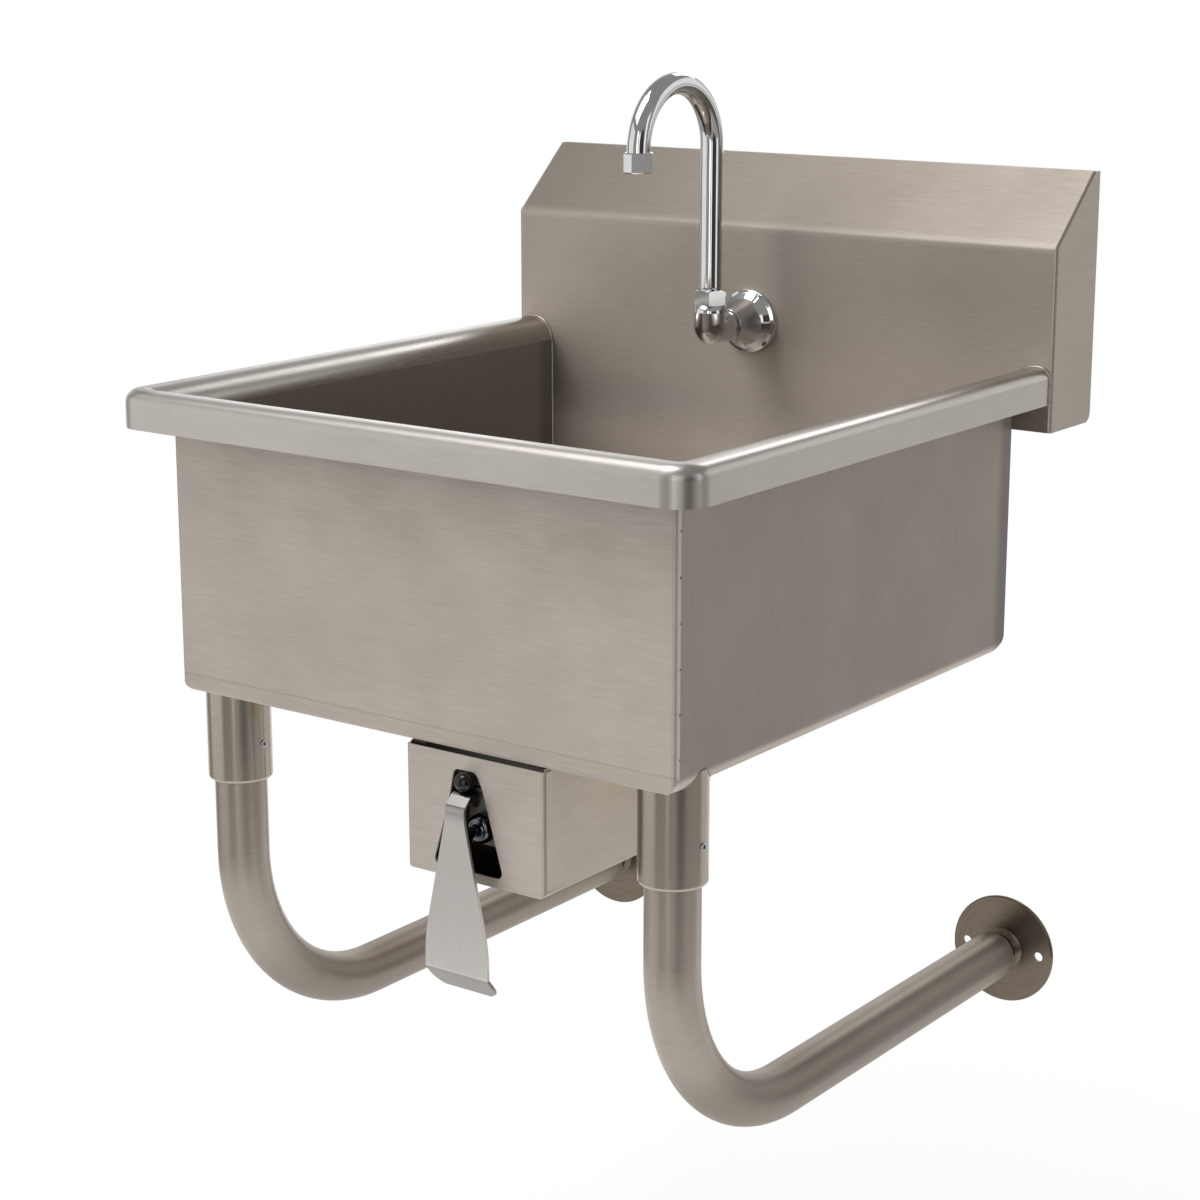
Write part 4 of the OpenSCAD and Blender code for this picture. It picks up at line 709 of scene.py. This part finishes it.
def sweep(path, radius, sides, closed=False, ripple=0.0, side=UP):
    """Points and faces of a bead along path: ripple is the share by which its radius swells in steps, unevenly
    at about a millimetre."""
    rings, count = [], len(path)
    for k, here in enumerate(path):
        before = path[(k - 1) % count] if closed or k > 0 else here
        after = path[(k + 1) % count] if closed or k < count - 1 else here
        ahead = (after - before).normalized()
        out = ahead.cross(side).normalized()
        lift = out.cross(ahead).normalized()
        r = radius * (1 + ripple * abs(math.sin(k * 1.3)) + ripple * noise.noise(here * 900))
        rings.append(ring(here, r * out, r * lift, sides))
    return skin(rings, closed)


def lathe(outline, centre, axis, sides=72):
    """Points and faces of a closed outline, (radius, height) in mm, turned once round an axis. A shift of a
    fifth of a facet sets the aerator's flats as the photograph shows them."""
    axis, one, two = square_to(axis)
    return skin([[Vector(centre) + MM * (height * axis + radius * (math.cos(t) * one + math.sin(t) * two))
                  for radius, height in outline] for t in turns(sides, 0.2)], loop=True)


def dome(centre, outward, radius, tall, rings=4, sides=12):
    """Points and faces of one low bead with its flat back just under the surface that it sits on."""
    outward, one, two = square_to(outward)
    points = [Vector(centre) + outward * tall]
    for k in range(1, rings + 1):
        turn = math.pi / 2 * k / rings
        height = tall * math.cos(turn) - (0.2 * MM if k == rings else 0)
        reach = radius * math.sin(turn)
        points += ring(Vector(centre) + outward * height, reach * one, reach * two, sides)
    faces = [(0, 1 + j, 1 + (j + 1) % sides) for j in range(sides)]
    for k in range(rings - 1):
        a, b = 1 + k * sides, 1 + (k + 1) * sides
        faces += [(a + j, b + j, b + (j + 1) % sides, a + (j + 1) % sides) for j in range(sides)]
    faces.append(tuple(range(1 + (rings - 1) * sides, 1 + rings * sides)))
    return points, faces


def thread(start, axis, kind, length, sides=48, rings_a_turn=6):
    """Points and faces of an outside thread as a thin sleeve on a plain pin: its crest winds once a pitch and
    fades over three rings at each end."""
    radius, pitch, depth = kind
    axis, one, two = square_to(axis)
    steps = round(length / pitch * rings_a_turn)
    rings = []
    for k in range(steps + 1):
        along = length * k / steps
        fade = min(1, k / 3, (steps - k) / 3)
        crests = [abs((along / pitch - j / sides) % 1 - 0.5) * 2 for j in range(sides)]
        rings.append([Vector(start) + axis * along
                      + (radius + 0.02 * MM + depth * crest * fade) * (math.cos(t) * one + math.sin(t) * two)
                      for crest, t in zip(crests, turns(sides))])
    bore = radius - 0.1 * MM
    rings += [ring(Vector(start) + axis * along, bore * one, bore * two, sides) for along in (length, 0)]
    return skin(rings, loop=True)


def rim_profile(out):
    """Outline of the rim's outer face at its end, from the skirt up over the roll, stood off by out."""
    path = [Vector((RIM_HALF_W + out, 0, RIM_LOW_Z + 3.5 * MM * k)) for k in range(6)]
    for k in range(1, 9):
        turn = math.pi / 2 * k / 8
        path.append(Vector((RIM_HALF_W - RIM_OUTER_R + (RIM_OUTER_R + out) * math.cos(turn), 0,
                            RIM_TOP_Z - RIM_OUTER_R + (RIM_OUTER_R + out) * math.sin(turn))))
    inner = RIM_HALF_W - RIM_ROLL_W + RIM_INNER_R
    for k in range(13):
        turn = math.pi / 2 + math.pi / 2 * k / 12
        path.append(Vector((inner + (RIM_INNER_R + out) * math.cos(turn), 0,
                            RIM_TOP_Z - RIM_INNER_R + (RIM_INNER_R + out) * math.sin(turn))))
    return path


def bowl_underside(x):
    """Height of the bowl's outside under |x|: flat, then up round the bend of the wrap."""
    past = min(max(abs(x) - (BOWL_HALF_W - WRAP_BEND_R), 0), WRAP_BEND_R)
    return BOWL_LOW_Z + WRAP_BEND_R - math.sqrt(WRAP_BEND_R ** 2 - past ** 2)


def saddle(side, steps=40):
    """Points and faces of the outer wall of a leg socket's top, cut to the bend of the bowl that it stands
    under."""
    low, rings = BOWL_LOW_Z - 0.3 * MM, []
    for k in range(steps + 1):
        turn = SADDLE_TURN * (2 * k / steps - 1)
        outer, inner = [(LEG_X + radius * math.cos(turn), LEG_Y + radius * math.sin(turn))
                        for radius in (SOCKET_R - 0.02 * MM, SOCKET_R - 3 * MM)]
        rings.append([Vector((side * x, y, z)) for (x, y), z in (
            (outer, low), (outer, bowl_underside(outer[0]) + 0.05 * MM),
            (inner, bowl_underside(inner[0]) + 0.05 * MM), (inner, low))])
    return skin(rings)


def hub_outline(bore=13.3, top_r=13.53, foot_r=20.2, top=34, foot=7.4, steps=20):
    """Outline in mm of the tap flange's hub: it swells in a bell from the elbow to the flange's cone."""
    bell = [(top_r + (foot_r - top_r) * (k / steps) ** 2.4, top - (top - foot) * k / steps)
            for k in range(steps + 1)]
    return [(bore, top), *bell, (foot_r + 0.4, foot - 0.4), (foot_r + 0.4, foot - 1.2), (bore, foot - 1.2)]


def neck_path():
    """Middle line of the gooseneck, up its riser, over its crook and down to the aerator."""
    crook = [Vector((TAP_X, CROOK_Y + CROOK_R * math.cos(t), CROOK_Z + CROOK_R * math.sin(t)))
             for t in (math.pi * k / 90 for k in range(91))]
    riser = dense([Vector((TAP_X, CROOK_Y + CROOK_R, NECK_LOW_Z)), crook[0]], 20 * MM)
    outlet = dense([crook[-1], Vector((TAP_X, CROOK_Y - CROOK_R, NECK_END_Z))], 20 * MM)
    return riser + crook[1:] + outlet[1:]


def cast_elbow(sides=64, steps=40):
    """Points and faces of the elbow: out of the flange's hub, round a cast corner that is tight outside, and up
    into the swivel nut. Its rings fan about a point just off its inner corner."""
    hinge = Vector((TAP_X, ELBOW_Y, TAP_Z + ELBOW_BEND_R))
    inner, outer = ELBOW_BEND_R - ELBOW_R, ELBOW_BEND_R + ELBOW_R
    square = outer - ELBOW_CORNER_R
    start, end = FACE_Y - 14 * MM, ELBOW_TOP_Z + 0.5 * MM
    rings = [ring((TAP_X, start, TAP_Z), ELBOW_R * RIGHT, ELBOW_R * UP, sides)]
    for k in range(steps + 1):
        turn = math.pi / 2 * k / steps
        long, short = max(math.sin(turn), math.cos(turn)), min(math.sin(turn), math.cos(turn))
        reach = outer / long
        if short * reach > square:
            middle = square * (long + short)
            reach = middle + math.sqrt(middle ** 2 - 2 * square ** 2 + ELBOW_CORNER_R ** 2)
        away = Vector((0, -math.sin(turn), -math.cos(turn)))
        centre, half = hinge + away * (reach + inner) / 2, away * (inner - reach) / 2
        rings.append(ring(centre, ELBOW_R * RIGHT, half, sides))
    rings.append(ring((TAP_X, ELBOW_Y - ELBOW_BEND_R, end), ELBOW_R * RIGHT, ELBOW_R * BACK, sides))
    return skin(rings)


# Fillet welds where the ends of the rim meet the splash, blended with a flap wheel
for side, word in SIDES:
    line = [Vector((side * p.x, FACE_Y - 0.4 * MM, p.z)) for p in dense(rim_profile(0.3 * MM), 1.2 * MM)]
    piece(f"rim_weld_{word}", *sweep(line, 1.35 * MM, sides=10, ripple=0.12, side=BACK), WELD, "sink",
          "stainless_sheet")

# Saddles: the top edge of each leg socket
for side, word in SIDES:
    piece(f"socket_saddle_{word}", *saddle(side), SOCKET, "sink", "stainless_tube", smooth=False)

# Fine welds round the leg sockets under the bowl
for side, word in SIDES:
    one, two = [(SOCKET_R + 0.1 * MM) * way for way in square_to(UP)[1:]]
    line = [Vector((p.x, p.y, bowl_underside(p.x) - 0.2 * MM))
            for p in ring((side * LEG_X, LEG_Y, 0), one, two, 132)]
    piece(f"socket_weld_{word}", *sweep(line, 0.5 * MM, sides=8, closed=True, ripple=0.18), WELD, "sink",
          "stainless_tube")

# Six tack welds that hold the front panel to the wrap down each corner
for side, word in SIDES:
    tacks = [dome((side * (BOWL_HALF_W + 0.02 * MM), SEAM_Y, FACE_LOW_Z - TACK_PITCH * k), (side, 0, 0),
                  (1.0 + 0.25 * math.sin(2.1 * k)) * MM, 0.3 * MM) for k in range(6)]
    piece(f"seam_tacks_{word}", *joined(tacks), TACK, "sink", "stainless_sheet")

# Hub of the tap's flange
piece("tap_flange_hub", *lathe(hub_outline(), (TAP_X, FACE_Y, TAP_Z), -BACK), CHROME, "sink", "chrome_plate")

# The gooseneck as one fine sweep, so that its plate mirrors without facets
made = piece("gooseneck_tube", *sweep(neck_path(), NECK_R, sides=64, side=RIGHT), CHROME, "spout",
             "chrome_plate")
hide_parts("gooseneck")

# The cast elbow between the flange and the swivel nut
made = piece("elbow_tube", *cast_elbow(), CHROME, "sink", "chrome_plate")
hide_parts("tap_elbow")

# Housing of the aerator with its eight flats for a spanner
made = piece("aerator_flats", *lathe(AERATOR_FLATS, (TAP_X, CROOK_Y - CROOK_R, AERATOR_LOW_Z), UP, sides=8),
             CHROME, "spout", "chrome_plate", smooth=False)
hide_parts("aerator_housing")

# Domed cap turned with one groove, on the flat nose of the valve's bonnet
piece("bonnet_cap", *lathe(BONNET_CAP, (PEDAL_X, BONNET_FRONT_Y, VALVE_Z), -BACK), NICKEL, "sink",
      "chrome_plate")

# Threads: half-inch pipe on the shank and supplies, three-eighths on the outlet, fine on the drain cup
piece("tap_shank_thread", *thread((TAP_X, SHANK_THREAD_Y, TAP_Z), BACK, HALF_INCH_PIPE, SHANK_THREAD_LENGTH),
      BRASS, "sink", "brass")
for side, word in reversed(SIDES):
    start = (PEDAL_X + side * SUPPLY_OFFSET, NIPPLE_Y, SUPPLY_Z)
    piece(f"supply_thread_{word}", *thread(start, BACK, HALF_INCH_PIPE, NIPPLE_LENGTH), BRASS, "sink", "brass")
piece("outlet_thread", *thread((PEDAL_X, NIPPLE_Y, OUTLET_Z), BACK, THREE_EIGHTHS_PIPE, NIPPLE_LENGTH),
      BRASS, "sink", "brass")
piece("drain_cup_thread", *thread((0, DRAIN_Y, CUP_THREAD_Z), UP, FINE_CUP, CUP_THREAD_LENGTH),
      DRAIN, "sink", "drain_steel")
